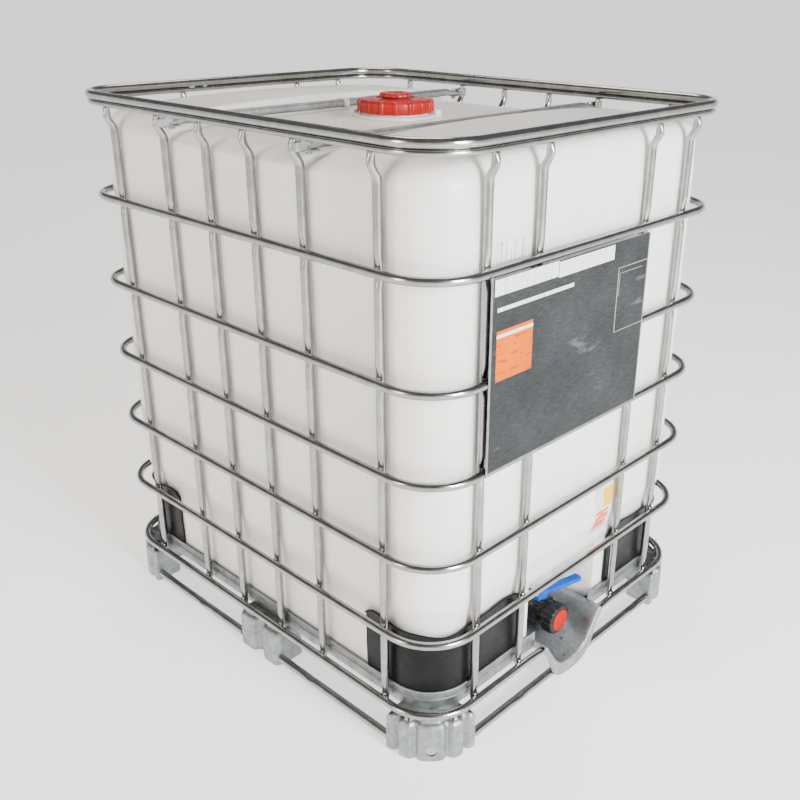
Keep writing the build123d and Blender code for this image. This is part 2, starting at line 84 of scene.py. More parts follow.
def pierce(work, centre, axis, radius):
    """Opens a round hole through the wall near centre, looking along axis."""

    def away(point):
        offset = point / MM - centre
        return (offset - axis * offset.dot(axis)), abs(offset.dot(axis))

    inner = []
    for face in work.faces:
        flat, depth = away(face.calc_center_median())
        if flat.length < radius and depth < 22.0:
            inner.append(face)
    bmesh.ops.delete(work, geom=inner, context="FACES")
    for vert in work.verts:
        flat, depth = away(vert.co)
        if 0.01 < flat.length < radius and depth < 22.0:
            vert.co += flat.normalized() * (radius - flat.length) * MM


class Shape:
    """Collects the faces of one piece."""

    def __init__(self):
        self.verts = []
        self.faces = []

    def grid(self, rows, wrap=False, loop=False, start=False, end=False):
        """Quads between rows of points; wrap closes each row, loop joins the last row to the first."""
        base = len(self.verts)
        wide = len(rows[0])
        for row in rows:
            self.verts.extend(tuple(p) for p in row)
        across = wide if wrap else wide - 1
        along = len(rows) if loop else len(rows) - 1
        for i in range(along):
            a = base + i * wide
            b = base + ((i + 1) % len(rows)) * wide
            for j in range(across):
                k = (j + 1) % wide
                self.faces.append((a + j, a + k, b + k, b + j))
        if start:
            self.faces.append(tuple(base + j for j in reversed(range(wide))))
        if end:
            self.faces.append(tuple(base + (len(rows) - 1) * wide + j for j in range(wide)))
        return self

    def lathe(self, profile, origin, axis="Z", sides=64, reach=None):
        """Turns a closed (radius, height) profile; reach(angle, radius, height) may reshape the radius."""
        rows = []
        for k in range(sides):
            angle = 2 * math.pi * k / sides
            row = []
            for radius, height in profile:
                r = reach(angle, radius, height) if reach else radius
                u, v = r * math.cos(angle), r * math.sin(angle)
                point = (u, v, height) if axis == "Z" else (u, -height, v)
                row.append(Vector(origin) + Vector(point))
            rows.append(row)
        return self.grid(rows, wrap=True, loop=True)

    def sweep(self, path, section, up, loop=False, ends=True):
        """Carries section(k), a list of (side, up) offsets, along a path of points."""
        rows = []
        count = len(path)
        for k, point in enumerate(path):
            before = path[k - 1] if (k > 0 or loop) else point
            after = path[(k + 1) % count] if (k < count - 1 or loop) else point
            along = (after - before).normalized()
            side = along.cross(up).normalized()
            rise = side.cross(along).normalized()
            rows.append([point + side * u + rise * v for u, v in section(k)])
        closed = not loop and ends
        return self.grid(rows, wrap=True, loop=loop, start=closed, end=closed)

    def layers(self, outline, levels, end=True):
        """Stacks a closed outline of (point, normal) pairs at (height, inset) levels."""
        rows = []
        for height, inset in levels:
            rows.append([Vector((p.x - n.x * inset, p.y - n.y * inset, height)) for p, n in outline])
        return self.grid(rows, wrap=True, end=end)

    def slab(self, x0, x1, y0, y1, z0, z1, edge=0.6):
        """Block with chamfered edges all round."""
        e = edge
        rows = []
        for z, inset in ((z0, e), (z0 + e, 0.0), (z1 - e, 0.0), (z1, e)):
            c = e if inset == 0.0 else e * 0.6
            a0, a1, b0, b1 = x0 + inset, x1 - inset, y0 + inset, y1 - inset
            rows.append([
                Vector(p + (z,)) for p in (
                    (a0 + c, b0), (a1 - c, b0), (a1, b0 + c), (a1, b1 - c),
                    (a1 - c, b1), (a0 + c, b1), (a0, b1 - c), (a0, b0 + c),
                )
            ])
        return self.grid(rows, wrap=True, start=True, end=True)

    def nugget(self, centre, radii, rings=4, sides=8):
        """Small rounded blob."""
        rows = []
        for i in range(1, rings):
            lat = math.pi * i / rings - math.pi / 2
            row = []
            for j in range(sides):
                lon = 2 * math.pi * j / sides
                row.append(Vector((
                    centre[0] + radii[0] * math.cos(lat) * math.cos(lon),
                    centre[1] + radii[1] * math.cos(lat) * math.sin(lon),
                    centre[2] + radii[2] * math.sin(lat),
                )))
            rows.append(row)
        return self.grid(rows, wrap=True, start=True, end=True)

    def place(self, name, material, body, nodes, sharp=35.0, thickness=0.0, rounding=0.0, hole=None):
        """Makes the object, gives it its material and ties it to its CAD nodes and body."""
        mesh = bpy.data.meshes.new(name)
        mesh.from_pydata([Vector(v) * MM for v in self.verts], [], self.faces)
        work = bmesh.new()
        work.from_mesh(mesh)
        bmesh.ops.remove_doubles(work, verts=work.verts, dist=0.02 * MM)
        bmesh.ops.dissolve_degenerate(work, edges=work.edges, dist=0.005 * MM)
        if hole:
            pierce(work, *hole)
        bmesh.ops.recalc_face_normals(work, faces=work.faces)
        work.to_mesh(mesh)
        work.free()
        mesh.polygons.foreach_set("use_smooth", [True] * len(mesh.polygons))
        mesh.set_sharp_from_angle(angle=math.radians(sharp))
        obj = bpy.data.objects.new(name, mesh)
        bpy.context.scene.collection.objects.link(obj)
        mesh.materials.append(material)
        if thickness:
            solid = obj.modifiers.new("sheet", "SOLIDIFY")
            solid.thickness = thickness * MM
            solid.offset = 0.0
        if rounding:
            soft = obj.modifiers.new("edges", "BEVEL")
            soft.width = rounding * MM
            soft.segments = 2
            soft.limit_method = "ANGLE"
            soft.angle_limit = math.radians(40)
        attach(obj, body)
        if nodes:
            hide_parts(*nodes)
        return obj


def circle(radius, sides=18):
    """Round section."""
    return [
        (radius * math.cos(2 * math.pi * k / sides), radius * math.sin(2 * math.pi * k / sides))
        for k in range(sides)
    ]


def soft_box(half_wide, half_tall, count, power):
    """Box section with rounded corners; a smaller power makes it squarer."""
    points = []
    for k in range(count):
        a = 2 * math.pi * k / count
        c, s = math.cos(a), math.sin(a)
        points.append((
            math.copysign(abs(c) ** power, c) * half_wide,
            math.copysign(abs(s) ** power, s) * half_tall,
        ))
    return points


def box_loop(half_x, half_y, bend, spacing=24.0, arc=14):
    """Closed rounded rectangle as (point, outward normal) pairs, starting on the +X side."""
    pairs = []
    corners = ((1, 1, 0), (-1, 1, 90), (-1, -1, 180), (1, -1, 270))
    for k, (sx, sy, first) in enumerate(corners):
        centre = Vector((sx * (half_x - bend), sy * (half_y - bend), 0))
        for a in steps(first, first + 90, arc):
            n = Vector((math.cos(math.radians(a)), math.sin(math.radians(a)), 0))
            pairs.append((centre + n * bend, n))
        nx, ny, _ = corners[(k + 1) % 4]
        nxt = Vector((nx * (half_x - bend), ny * (half_y - bend), 0))
        n = pairs[-1][1]
        length = (nxt - centre).length
        count = max(2, int(length / spacing))
        for t in range(1, count):
            pairs.append((centre + n * bend + (nxt - centre) * (t / count), n))
    return pairs


def ring_path(z, half_x=HALF_X, half_y=HALF_Y, bend=RING_R):
    """Centre line of a ring."""
    return [p + Vector((0, 0, z)) for p, n in box_loop(half_x, half_y, bend)]


# ------------------------------------------------------------------ materials
class Paint:
    """A Principled material with short helpers for its noise nodes."""

    def __init__(self, name, metallic=0.0, roughness=0.5, **sockets):
        self.material = bpy.data.materials.new(name)
        self.material.use_nodes = True
        self.tree = self.material.node_tree
        self.shader = self.tree.nodes["Principled BSDF"]
        self.shader.inputs["Metallic"].default_value = metallic
        self.shader.inputs["Roughness"].default_value = roughness
        for key, value in sockets.items():
            self.shader.inputs[key.replace("_", " ")].default_value = value
        self.coords = self.tree.nodes.new("ShaderNodeTexCoord").outputs["Object"]

    def add(self, kind, **values):
        node = self.tree.nodes.new(kind)
        for key, value in values.items():
            if key in node.inputs:
                node.inputs[key].default_value = value
            else:
                setattr(node, key, value)
        return node

    def link(self, a, b):
        self.tree.links.new(a, b)

    def stretched(self, scale):
        node = self.add("ShaderNodeMapping")
        node.inputs["Scale"].default_value = scale
        self.link(self.coords, node.inputs["Vector"])
        return node.outputs["Vector"]

    def noise(self, scale, detail=3.0, vector=None, rough=0.55):
        node = self.add("ShaderNodeTexNoise", Scale=scale, Detail=detail, Roughness=rough)
        self.link(vector or self.coords, node.inputs["Vector"])
        return node.outputs["Fac"]

    def cells(self, scale, vector=None):
        node = self.add("ShaderNodeTexVoronoi", Scale=scale)
        self.link(vector or self.coords, node.inputs["Vector"])
        return node.outputs["Color"]

    def ramp(self, source, low, high, a, b):
        """Colour from a to b as source goes from low to high."""
        node = self.add("ShaderNodeValToRGB")
        node.color_ramp.elements[0].position = low
        node.color_ramp.elements[0].color = a + (1,)
        node.color_ramp.elements[1].position = high
        node.color_ramp.elements[1].color = b + (1,)
        self.link(source, node.inputs["Fac"])
        return node.outputs["Color"]

    def blend(self, factor, a, b, mode="MIX"):
        node = self.add("ShaderNodeMix", data_type="RGBA", blend_type=mode)
        if isinstance(factor, float):
            node.inputs[0].default_value = factor
        else:
            self.link(factor, node.inputs[0])
        for socket, value in ((node.inputs[6], a), (node.inputs[7], b)):
            if isinstance(value, tuple):
                socket.default_value = value + (1,)
            else:
                self.link(value, socket)
        return node.outputs[2]

    def span(self, source, low, high, a, b):
        """Number from a to b as source goes from low to high."""
        node = self.add("ShaderNodeMapRange")
        node.inputs["From Min"].default_value = low
        node.inputs["From Max"].default_value = high
        node.inputs["To Min"].default_value = a
        node.inputs["To Max"].default_value = b
        self.link(source, node.inputs["Value"])
        return node.outputs["Result"]

    def colour(self, socket):
        self.link(socket, self.shader.inputs["Base Color"])

    def roughness(self, socket):
        self.link(socket, self.shader.inputs["Roughness"])

    def relief(self, source, strength, distance):
        node = self.add("ShaderNodeBump", Strength=strength, Distance=distance)
        self.link(source, node.inputs["Height"])
        self.link(node.outputs["Normal"], self.shader.inputs["Normal"])


def galvanised_tube():
    """Zinc on drawn tube: fine lengthwise mottling, dull grey patches and brown storage stain."""
    p = Paint("galvanised_tube", metallic=1.0, roughness=0.24)
    mottle = p.ramp(p.noise(30.0, 4.0), 0.32, 0.70, (0.30, 0.295, 0.285), (0.40, 0.40, 0.39))
    grain = p.ramp(p.cells(160.0), 0.0, 1.0, (0.92, 0.92, 0.92), (1.0, 1.0, 1.0))
    shade = p.blend(0.5, mottle, grain, "MULTIPLY")
    stain = p.span(p.noise(7.0, 4.0), 0.60, 0.80, 0.0, 0.40)
    p.colour(p.blend(stain, shade, (0.23, 0.21, 0.18)))
    p.roughness(p.span(p.noise(40.0, 3.0), 0.3, 0.75, 0.17, 0.28))
    p.relief(p.noise(160.0, 3.0), 0.05, 0.0005)
    return p.material


def galvanised_sheet():
    """Zinc on pressed sheet: larger spangle, brighter, with scuffs."""
    p = Paint("galvanised_sheet", metallic=1.0, roughness=0.40)
    spangle = p.ramp(p.cells(85.0), 0.0, 1.0, (0.30, 0.32, 0.33), (0.45, 0.47, 0.48))
    cloud = p.ramp(p.noise(9.0, 5.0), 0.35, 0.70, (0.66, 0.66, 0.65), (1.0, 1.0, 1.0))
    shade = p.blend(0.75, spangle, cloud, "MULTIPLY")
    scuff = p.span(p.noise(60.0, 5.0, p.stretched((0.2, 1.0, 1.0))), 0.66, 0.74, 0.0, 0.45)
    p.colour(p.blend(scuff, shade, (0.30, 0.30, 0.29)))
    p.roughness(p.span(p.noise(30.0, 4.0), 0.3, 0.7, 0.44, 0.62))
    p.relief(p.noise(120.0, 3.0), 0.14, 0.0008)
    return p.material


def painted_shade_sheet():
    """Near-black painted shade for the inner side of the feet sheet, standing in for the shade inside the
    feet.
    """
    p = Paint("painted_shade_sheet", metallic=0.3, roughness=0.8)
    p.colour(p.ramp(p.noise(22.0, 5.0), 0.3, 0.7, (0.012, 0.012, 0.012), (0.035, 0.034, 0.032)))
    p.roughness(p.span(p.noise(50.0, 3.0), 0.3, 0.7, 0.7, 0.9))
    p.relief(p.noise(120.0, 3.0), 0.2, 0.0008)
    return p.material


def bright_zinc():
    """Weld spots, bolts and rivets: bright zinc with dark corners of flux."""
    p = Paint("bright_zinc", metallic=1.0, roughness=0.30)
    p.colour(p.ramp(p.noise(180.0, 4.0), 0.38, 0.62, (0.25, 0.23, 0.20), (0.80, 0.80, 0.78)))
    p.roughness(p.span(p.noise(220.0, 3.0), 0.3, 0.7, 0.2, 0.45))
    p.relief(p.noise(260.0, 3.0), 0.35, 0.0006)
    return p.material


def natural_plastic():
    """Natural polyethylene: waxy, milky, faintly cloudy, with light catching inside the wall."""
    p = Paint("natural_hdpe", roughness=0.36, Subsurface_Weight=0.45, Subsurface_Scale=0.03)
    p.shader.inputs["Subsurface Radius"].default_value = (1.0, 0.85, 0.7)
    p.shader.inputs["IOR"].default_value = 1.5
    cloud = p.ramp(p.noise(2.6, 3.0), 0.30, 0.72, (0.83, 0.815, 0.79), (0.90, 0.895, 0.885))
    drawn = p.noise(24.0, 4.0, p.stretched((1.0, 1.0, 0.05)))
    streak = p.ramp(drawn, 0.3, 0.7, (0.955, 0.95, 0.94), (1.0, 1.0, 1.0))
    shade = p.blend(1.0, cloud, streak, "MULTIPLY")
    scuff = p.span(p.noise(75.0, 5.0), 0.68, 0.80, 0.0, 0.20)
    p.colour(p.blend(scuff, shade, (0.68, 0.65, 0.60)))
    p.roughness(p.span(p.noise(40.0, 3.0), 0.3, 0.7, 0.30, 0.44))
    p.relief(p.noise(90.0, 3.0), 0.05, 0.0010)
    return p.material


def moulded(name, low, high, roughness=0.42, scale=60.0, relief=0.12, dust=0.18, coat=0.0, shine=0.4):
    """Moulded plastic: fine texture, slight colour drift, dust and handling scuffs."""
    p = Paint(name, roughness=roughness, Specular_IOR_Level=shine)
    p.shader.inputs["Coat Weight"].default_value = coat
    p.shader.inputs["Coat Roughness"].default_value = 0.25
    base = p.ramp(p.noise(scale * 0.35, 4.0), 0.32, 0.70, low, high)
    scratch = p.noise(scale * 3.0, 5.0, p.stretched((0.3, 1.0, 0.6)))
    grey = tuple(min(1.0, 0.18 + 0.75 * c) for c in high)
    p.colour(p.blend(p.span(scratch, 0.60, 0.80, 0.0, dust), base, grey))
    p.roughness(p.span(p.noise(scale, 4.0), 0.3, 0.7, roughness - 0.10, roughness + 0.12))
    p.relief(p.noise(scale * 9.0, 2.0), relief, 0.0004)
    return p.material


def dark_film():
    """Dark protective film on the label plate: fine woven streaks, scratches and pale rubs."""
    p = Paint("dark_film", roughness=0.55, Specular_IOR_Level=0.08)
    threads = p.noise(420.0, 3.0, p.stretched((0.12, 1.0, 1.0)))
    cloth = p.ramp(threads, 0.3, 0.7, (0.024, 0.027, 0.028), (0.048, 0.051, 0.052))
    cloud = p.ramp(p.noise(7.0, 5.0), 0.3, 0.75, (0.75, 0.75, 0.75), (1.25, 1.25, 1.25))
    base = p.blend(1.0, cloth, cloud, "MULTIPLY")
    rub = p.span(p.noise(16.0, 6.0, p.stretched((0.5, 1.0, 1.6))), 0.66, 0.76, 0.0, 0.35)
    p.colour(p.blend(rub, base, (0.30, 0.32, 0.32)))
    p.roughness(p.span(p.noise(30.0, 4.0), 0.3, 0.7, 0.48, 0.66))
    p.relief(p.noise(300.0, 2.0), 0.15, 0.0003)
    return p.material


def printed_film(name, low, high, ink, lines, across=1.0):
    """Adhesive label: film with faint generic print made of broken lines, no lettering."""
    p = Paint(name, roughness=0.6, Specular_IOR_Level=0.06)
    base = p.ramp(p.noise(12.0, 3.0), 0.3, 0.7, low, high)
    stripe = p.noise(lines, 1.0, p.stretched((across, 1.0, 1.0 if across < 0.5 else 0.02)))
    p.colour(p.blend(p.span(stripe, 0.60, 0.63, 0.0, 0.55), base, ink))
    p.roughness(p.span(p.noise(60.0, 2.0), 0.3, 0.7, 0.52, 0.68))
    return p.material


GALV = galvanised_tube()
SHEET = galvanised_sheet()
PAINTED_SHADE = painted_shade_sheet()
ZINC = bright_zinc()
HDPE = natural_plastic()
GUARD = moulded(
    "black_guard", (0.003, 0.003, 0.004), (0.008, 0.008, 0.009),
    0.34, 40.0, 0.10, 0.02, 0.0, 0.16,
)
BLACK = moulded(
    "black_plastic", (0.004, 0.004, 0.005), (0.012, 0.012, 0.013),
    0.34, 80.0, 0.10, 0.03, 0.0, 0.3,
)
RED = moulded("red_plastic", (0.33, 0.002, 0.002), (0.43, 0.005, 0.004), 0.36, 70.0, 0.10, 0.02, 0.1, 0.3)
BRIGHT_RED = moulded(
    "red_disc", (0.36, 0.004, 0.002), (0.46, 0.008, 0.004),
    0.5, 90.0, 0.10, 0.02, 0.0, 0.12,
)
BLUE = moulded(
    "blue_plastic", (0.000, 0.055, 0.42), (0.002, 0.085, 0.52),
    0.45, 90.0, 0.10, 0.02, 0.0, 0.15,
)
YELLOW = moulded("yellow_plastic", (0.84, 0.62, 0.002), (0.95, 0.74, 0.006), 0.45, 90.0, 0.08, 0.03)
CREAM = moulded("cream_plastic", (0.66, 0.60, 0.50), (0.76, 0.70, 0.60), 0.5, 60.0, 0.08, 0.1)
GREY = moulded("grey_plastic", (0.30, 0.30, 0.30), (0.42, 0.42, 0.42), 0.45, 90.0, 0.08, 0.1)
RUBBER = moulded("seal_rubber", (0.02, 0.02, 0.02), (0.05, 0.05, 0.05), 0.7, 120.0, 0.25, 0.2)
FILM = dark_film()
PAPER = printed_film("label_paper", (0.72, 0.72, 0.71), (0.82, 0.82, 0.81), (0.35, 0.35, 0.36), 260.0)
ORANGE = printed_film(
    "orange_label", (0.62, 0.11, 0.000), (0.70, 0.14, 0.000), (0.22, 0.04, 0.000),
    160.0, 0.15,
)
CODE = printed_film("code_label", (0.80, 0.80, 0.79), (0.86, 0.86, 0.85), (0.06, 0.06, 0.06), 190.0)
AMBER = printed_film("amber_label", (0.90, 0.48, 0.01), (0.95, 0.56, 0.02), (0.75, 0.08, 0.02), 90.0, 0.2)
MULTI = printed_film("bottle_label", (0.75, 0.10, 0.08), (0.85, 0.16, 0.10), (0.85, 0.85, 0.82), 110.0, 0.2)


# ------------------------------------------------------------------ cage
def ring_piece(name, z, radius, half_x=HALF_X, half_y=HALF_Y, bend=RING_R):
    """One bent ring tube, closed on itself."""
    shape = Shape()
    shape.sweep(ring_path(z, half_x, half_y, bend), lambda k: circle(radius), Vector((0, 0, 1)), loop=True)
    return shape.place(name, GALV, "container", [name])


def upright_axis(z):
    """How far inboard of the ring line the upright's axis lies at a height."""
    return UPRIGHT_IN - (UPRIGHT_IN - 1.0) * ease(1234.0, 1264.0, z)


def upright_section(z):
    """Section of an upright at a height: round, pressed flat where it meets a ring, rail or rim."""
    press = 0.0
    for level in RING_Z + (RAIL_Z,):
        press = max(press, bump(z - level, 13.0, 36.0))
    pinch = bump(z - 1262.0, 6.0, 22.0)
    points = []
    for a, b in circle(TUBE_R, 20):
        if b > 0:
            b *= 1 - 0.36 * press
        if b < 0:
            b *= 1 - 0.20 * press
        a *= 1 + 0.10 * press - 0.22 * pinch
        b *= 1 - 0.30 * bump(z - 1283.0, 4.0, 14.0)
        points.append((a, b))
    return points


def upright_heights():
    """Heights where an upright's section is drawn: close together at every dimple."""
    heights = set()
    for level in RING_Z + (RAIL_Z,):
        heights.update(round(level + d, 1) for d in range(-40, 41, 5))
    heights.update(round(z, 1) for z in steps(112.0, 1282.0, 60))
    heights.update(float(z) for z in range(1226, 1284, 4))
    return sorted(z for z in heights if 110.0 <= z <= 1283.0)


def uprights(name, turn, places):
    """The uprights of one side."""
    shape = Shape()
    spin = Matrix.Rotation(math.radians(turn), 3, "Z")
    half = HALF_X if turn % 180 == 0 else HALF_Y
    for along in places:
        rows = []
        for z in upright_heights():
            middle = half - upright_axis(z)
            row = [spin @ Vector((-middle - b, along + a, z)) for a, b in upright_section(z)]
            rows.append(row)
        shape.grid(rows, wrap=True, start=True, end=True)
    return shape.place(name, GALV, "container", [name])


def weld_spots():
    """Weld beads where the uprights cross the rings, the rail and the rim."""
    shape = Shape()
    for turn, places in ((0, LONG_SIDE_Y), (180, LONG_SIDE_Y), (90, SHORT_SIDE_X), (270, SHORT_SIDE_X)):
        spin = Matrix.Rotation(math.radians(turn), 3, "Z")
        half = HALF_X if turn % 180 == 0 else HALF_Y
        long_x = turn % 180 == 0
        for along in places:
            for z in RING_Z + (RAIL_Z, 1284.5):
                for lift in (-6.2, 6.2):
                    if z > 1200 and lift > 0:
                        continue
                    size = 4.6 + 1.4 * noise.noise(Vector((along, z, turn + lift)))
                    reach = half - (0.5 if z > 1200 else 8.4)
                    centre = spin @ Vector((-reach, along, z + lift * (0.35 if z > 1200 else 1.0)))
                    radii = (2.6, size + 2, 2.4) if long_x else (size + 2, 2.6, 2.4)
                    shape.nugget(centre, radii)
    shape.nugget((330.0, -589.0, 1284.0), (9.0, 4.5, 4.0))
    shape.nugget((-20.0, -589.0, 1284.0), (10.0, 4.5, 3.6))
    shape.nugget((-160.0, 590.0, 1299.0), (13.0, 8.0, 8.5))
    shape.nugget((-120.0, 590.0, 1299.0), (9.0, 8.0, 8.0))
    return shape.place("weld_spots", ZINC, "container", [])


def rail_piece():
    """Lowest tube of the cage, open at the outlet and flattened at its two ends."""
    loop = box_loop(HALF_X, HALF_Y, RING_R)
    points = [p + Vector((0, 0, RAIL_Z)) for p, n in loop]
    front = [p for p in points if not (abs(p.x) < 112 and p.y < 0)]
    cut = max(range(len(front)), key=lambda k: (front[k] - front[k - 1]).length)
    path = front[cut:] + front[:cut]
    first = path[0].copy()
    last = path[-1].copy()
    first.x = math.copysign(107.0, first.x)
    last.x = math.copysign(107.0, last.x)
    path = [first] + path + [last]
    shape = Shape()
    count = len(path)

    def section(k):
        flat = 0.45 if k in (0, count - 1) else (0.8 if k in (1, count - 2) else 1.0)
        return [(a * (1.18 if flat < 0.5 else 1.0) * 0.98, b * flat) for a, b in circle(TUBE_R)]

    shape.sweep(path, section, Vector((0, 0, 1)))
    return shape.place("bottom_rail", GALV, "container", ["bottom_rail"])


def cross_bar(name, y):
    """Flattened tube across the bottle, pressed thinner at its bolted ends."""
    shape = Shape()
    xs = steps(-466.0, 466.0, 60)

    def section(k):
        press = ease(425.0, 445.0, abs(xs[k]))
        wide = 15.0 + 2.0 * press
        tall = 9.0 - 5.5 * press
        drop = -5.0 * press
        return [(u, v + drop) for u, v in soft_box(wide, tall, 24, 0.55)]

    path = [Vector((x, y, BAR_Z)) for x in xs]
    shape.sweep(path, section, Vector((0, 0, 1)))
    return shape.place(name, SHEET, "container", [name])


def bar_fittings():
    """Clips that hold the cross bars to the uprights, their bolts, and the plastic strap."""
    clips = Shape()
    bolts = Shape()
    for side in (-1, 1):
        for y in (-BAR_Y, BAR_Y):
            low, high = sorted((side * 440.0, side * 480.0))
            clips.slab(low, high, y - 20, y + 20, 1258.0, 1261.0)
            start = Vector((side * 458.0, y + 13.0, CLIP_Z))
            finish = Vector((side * 458.0, y - 13.0, CLIP_Z))
            wrap = []
            for t in steps(0, 180, 12):
                a = math.radians(t)
                wrap.append(Vector((
                    side * (484.0 + 11.5 * math.sin(a)),
                    y + 12.0 * math.cos(a),
                    CLIP_Z,
                )))
            arms = [start] + wrap + [finish]
            clips.sweep(arms, lambda k: [(-1.2, -8), (1.2, -8), (1.2, 8), (-1.2, 8)], Vector((0, 0, 1)))
            hexes = circle(7.6, 6)
            for z0, z1 in ((1252.0, 1258.0), (1268.5, 1274.0)):
                rows = []
                for z, s in ((z0, 0.9), (z0 + 0.8, 1.0), (z1 - 0.8, 1.0), (z1, 0.88)):
                    rows.append([Vector((side * BAR_END_X + u * s, y + v * s, z)) for u, v in hexes])
                bolts.grid(rows, wrap=True, start=True, end=True)
            shank = [(0.01, 1250.0), (4.0, 1250.0), (4.0, 1276.5), (3.0, 1278.0), (0.01, 1278.0)]
            bolts.lathe(shank, (side * BAR_END_X, y, 0), sides=16)
    clips.place("bar_brackets", SHEET, "container", ["bar_brackets"], rounding=0.5)
    bolts.place("bar_bolts", ZINC, "container", ["bar_bolts"])
    strap = Shape()
    rows = []
    for x in (33.0, 34.2, 45.8, 47.0):
        lip = 0.7 if x in (33.0, 47.0) else 0.0
        outline = soft_box(17.2 - lip, 11.2 - lip, 32, 0.55)
        rows.append([Vector((x, BAR_Y + u, BAR_Z + v)) for u, v in outline])
    strap.grid(rows, wrap=True, start=True, end=True)
    strap.slab(36.0, 44.0, BAR_Y - 21, BAR_Y - 16, 1262.0, 1279.0)
    strap.place("bar_strap", CREAM, "container", ["bar_strap"])


# ------------------------------------------------------------------ pallet
def follow(points, spacing=4.0):
    """Evenly spaced (point, outward normal) pairs along a closed polygon walked anticlockwise."""
    out = []
    count = len(points)
    for k in range(count):
        a, b = points[k], points[(k + 1) % count]
        pieces = max(1, int((b - a).length / spacing))
        for t in range(pieces):
            out.append(a.lerp(b, t / pieces))
    pairs = []
    for k, p in enumerate(out):
        along = (out[(k + 1) % len(out)] - out[k - 1]).normalized()
        pairs.append((p, Vector((along.y, -along.x, 0))))
    return pairs


def relax(points, times):
    """Rounds a closed polygon off."""
    count = len(points)
    for _ in range(times):
        points = [(points[k - 1] + points[k] * 2 + points[(k + 1) % count]) / 4 for k in range(count)]
    return points


def foot_shell(name, outline, sx, sy, turn=0.0, hole=None):
    """Pressed foot: fluted wall with rounded shoulders, a step and a deck, open below."""
    shape = Shape()
    pairs = []
    spin = Matrix.Rotation(math.radians(turn), 3, "Z")
    for p, n in outline:
        pairs.append((
            spin @ Vector((p.x * sx, p.y * sy, 0)),
            spin @ Vector((n.x * sx, n.y * sy, 0)),
        ))
    levels = [(0.6, 1.6), (2.5, 0.4), (6.0, 0.0)]
    levels += [(z, 0.0) for z in steps(9.0, 48.0, 15)]
    levels += [(60.0, 0.3), (82.0, 0.6)]
    levels += [(88.0, 1.6), (92.0, 4.0), (94.5, 7.6), (95.5, 10.5)]
    levels += [(98.0, 12.0), (104.0, 12.6), (107.0, 14.5), (107.8, 18.0)]
    shape.layers(pairs, levels, end=True)
    foot = shape.place(name, SHEET, "container", [name], thickness=2.2, sharp=50.0, hole=hole)
    # The inner side of each foot's sheet gets the near-black painted shade material.
    foot.data.materials.append(PAINTED_SHADE)
    foot.modifiers["sheet"].material_offset = 1
    return foot


def flute(place, centre, half, depth):
    """Outward swelling of one flute at a place along the wall."""
    return depth * bump(place - centre, half * 0.55, half)


def corner_outline():
    """Closed plan of the corner foot in the +X +Y quarter, with its five flutes."""
    wall = []
    straight = 110.0
    arc = math.pi / 2 * 104.0
    total = 2 * straight + arc
    middle = total / 2
    for s in steps(0.0, total, 150):
        if s < straight:
            p = Vector((484.0, 480.0 - straight + s, 0))
            n = Vector((1, 0, 0))
        elif s < straight + arc:
            a = (s - straight) / 104.0
            n = Vector((math.cos(a), math.sin(a), 0))
            p = Vector((380.0, 480.0, 0)) + n * 104.0
        else:
            p = Vector((380.0 - (s - straight - arc), 584.0, 0))
            n = Vector((0, 1, 0))
        if p.y < 458 or p.x < 358:
            continue
        swell = flute(s, middle, 38.0, 13.0)
        for away in (54.0, 98.0):
            swell = max(swell, flute(s, middle - away, 21.0, 14.5), flute(s, middle + away, 21.0, 14.5))
        wall.append(p + n * swell)
    inside = [Vector((x, y, 0)) for x, y in ((362.0, 525.0), (415.0, 525.0), (425.0, 515.0), (425.0, 462.0))]
    outline = [p for p, n in follow(wall + inside, 4.0)]
    outline = relax(outline, 2)
    return follow(outline, 50.0)


def middle_outline():
    """Closed plan of a side foot on the +X side, with its two broad flutes."""
    wall = []
    for y in steps(-78.0, 78.0, 60):
        swell = max(flute(y, -44.0, 36.0, 17.0), flute(y, 44.0, 36.0, 17.0))
        wall.append(Vector((481.5 + swell, y, 0)))
    inside = [Vector((420.0, 76.0, 0)), Vector((420.0, -76.0, 0))]
    outline = relax([p for p, n in follow(wall + inside, 4.0)], 2)
    return follow(outline, 50.0)


def foot_hole_place(sx, sy):
    """Centre and outward axis of the hole in a corner foot."""
    axis = Vector((sx, sy, 0)).normalized()
    return Vector((sx * 380.0, sy * 480.0, HOLE_Z)) + axis * 117.2, axis


def foot_hole_rim(sx, sy):
    """Pressed rim of the hole in a corner foot."""
    shape = Shape()
    centre, axis = foot_hole_place(sx, sy)
    side = axis.cross(Vector((0, 0, 1)))
    rows = []
    for wider, out in ((0.0, -4.0), (0.0, -0.2), (0.6, 0.6), (2.2, 0.9), (4.2, 0.5), (5.4, -0.4)):
        row = []
        for u, v in circle(HOLE_R + wider, 32):
            row.append(centre + side * u + Vector((0, 0, v)) + axis * out)
        rows.append(row)
    return shape.grid(rows, wrap=True)


